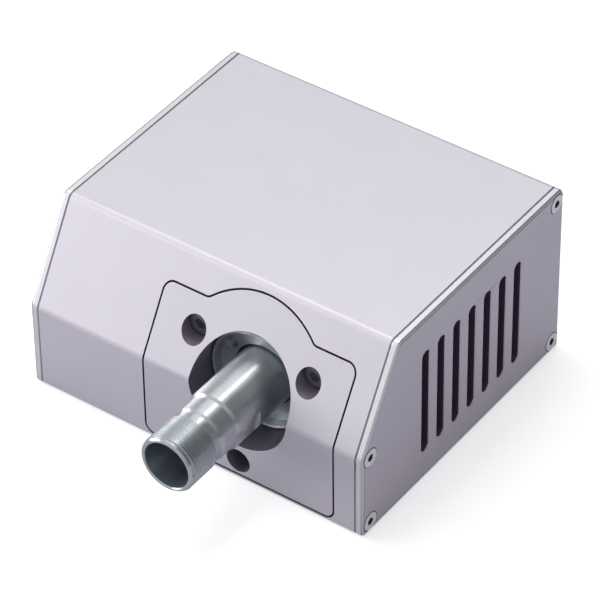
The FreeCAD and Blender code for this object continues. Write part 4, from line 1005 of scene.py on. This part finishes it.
@dataclass(frozen=True)
class Studio:
    """A white floor, softboxes overhead and at both sides, and a sky that darkens to the right."""

    sky_bright: float = 0.68
    sky_dark: float = 0.12
    towards_light: tuple[float, float, float] = (-0.55, -0.65, 0.3)
    floor_glow: float = 0.54
    floor_mirror_glow: float = 0.02
    floor_half: float = 4.0
    floor_drop: float = 0.2
    aim_height: float = 20.0

    def build(self) -> None:
        """Builds the floor, world and lamps."""
        self.floor()
        self.world()
        self.lamp("key_softbox", (-0.24, 0.0, 0.7), 0.4, 1.6)
        self.lamp("right_softbox", (0.8, -0.2, 0.35), 0.4, 1.9)
        self.lamp("overhead_softbox", (-0.18, 0.25, 0.75), 0.7, 1.4, mirrored=True)
        self.lamp("shaft_softbox", (-0.04, 0.25, 0.72), 0.15, 0.4, mirrored=True)
        self.lamp("left_softbox", (-0.9, -0.4, 0.12), 0.7, 7.2, mirrored=True)
        bpy.context.scene.view_settings.view_transform = "Standard"

    def floor(self) -> None:
        """A floor, white to the camera, that keeps the shadow and throws little light up."""
        shape = bmesh.new()
        bmesh.ops.create_grid(shape, x_segments=1, y_segments=1, size=self.floor_half,
                              matrix=Matrix.Translation((0, 0, -self.floor_drop * MM)))
        floor = new_piece("studio_floor", shape)
        paper = bpy.data.materials.new("white_floor_paper")
        paper.use_nodes = True
        tree = paper.node_tree
        tree.nodes.clear()
        path = add(tree, "ShaderNodeLightPath")
        mirrored = add(tree, "ShaderNodeMath", {
            0: path.outputs["Is Glossy Ray"], 1: path.outputs["Is Transmission Ray"]},
            operation="ADD")
        low = add(tree, "ShaderNodeMath", {0: mirrored.outputs[0], 1: self.floor_mirror_glow},
                  operation="MULTIPLY")
        glow = add(tree, "ShaderNodeMath", {
            0: path.outputs["Is Camera Ray"], 1: self.floor_glow, 2: low.outputs[0]},
            operation="MULTIPLY_ADD")
        light = add(tree, "ShaderNodeEmission", {
            "Color": linear("#FFFFFF"), "Strength": glow.outputs[0]})
        paint = add(tree, "ShaderNodeMix", {
            "Factor": path.outputs["Is Camera Ray"],
            "A": linear("#A9A7AF"), "B": linear("#D2D2D4")}, data_type="RGBA")
        matt = add(tree, "ShaderNodeBsdfDiffuse", {"Color": paint.outputs["Result"]})
        both = add(tree, "ShaderNodeAddShader", {0: light.outputs[0], 1: matt.outputs[0]})
        add(tree, "ShaderNodeOutputMaterial", {"Surface": both.outputs[0]})
        floor.data.materials.append(paper)

    def world(self) -> None:
        """A sky that is bright up on the left, dark low on the right, and white to the camera."""
        world = bpy.data.worlds.new("studio_sky")
        bpy.context.scene.world = world
        world.use_nodes = True
        tree = world.node_tree
        tree.nodes.clear()
        path = add(tree, "ShaderNodeLightPath")
        way = add(tree, "ShaderNodeTexCoord").outputs["Generated"]
        facing = add(tree, "ShaderNodeVectorMath", {0: way, 1: self.towards_light},
                     operation="DOT_PRODUCT")
        fade = add(tree, "ShaderNodeMapRange", {
            "Value": facing.outputs["Value"], "From Min": -0.6, "From Max": 0.85,
            "To Min": self.sky_dark, "To Max": self.sky_bright}, interpolation_type="SMOOTHSTEP")
        strength = add(tree, "ShaderNodeMix", {
            "Factor": path.outputs["Is Camera Ray"], "A": fade.outputs[0], "B": 1.0},
            data_type="FLOAT")
        sky = add(tree, "ShaderNodeBackground", {
            "Color": linear("#FFFFFF"), "Strength": strength.outputs["Result"]})
        add(tree, "ShaderNodeOutputWorld", {"Surface": sky.outputs[0]})

    def lamp(self, name: str, place: tuple[float, float, float], size: float, power: float,
             mirrored: bool = False) -> None:
        """A square softbox that faces the object.

        Args:
            name: The lamp's name.
            place: Where it hangs, in metres.
            size: Its side in metres.
            power: Its power in watts.
            mirrored: Whether polished metal shows it.
        """
        data = bpy.data.lights.new(name, "AREA")
        data.shape = "SQUARE"
        data.size = size
        data.energy = power
        lamp = bpy.data.objects.new(name, data)
        lamp.location = place
        lamp.visible_glossy = mirrored
        way = Vector((0, 0, self.aim_height * MM)) - Vector(place)
        lamp.rotation_euler = way.to_track_quat("-Z", "Y").to_euler()
        bpy.context.scene.collection.objects.link(lamp)


def main() -> None:
    """Builds the studio and dresses the object."""
    logging.basicConfig(level=logging.INFO, format="%(message)s")
    shop = Workshop.open()
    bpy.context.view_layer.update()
    PhotoCamera().build()
    Studio().build()
    SpindleShaft().build(shop)
    FrontCap().build(shop)
    Enclosure().build(shop)
    shop.dress_rest()


if __name__ == "__main__":
    main()
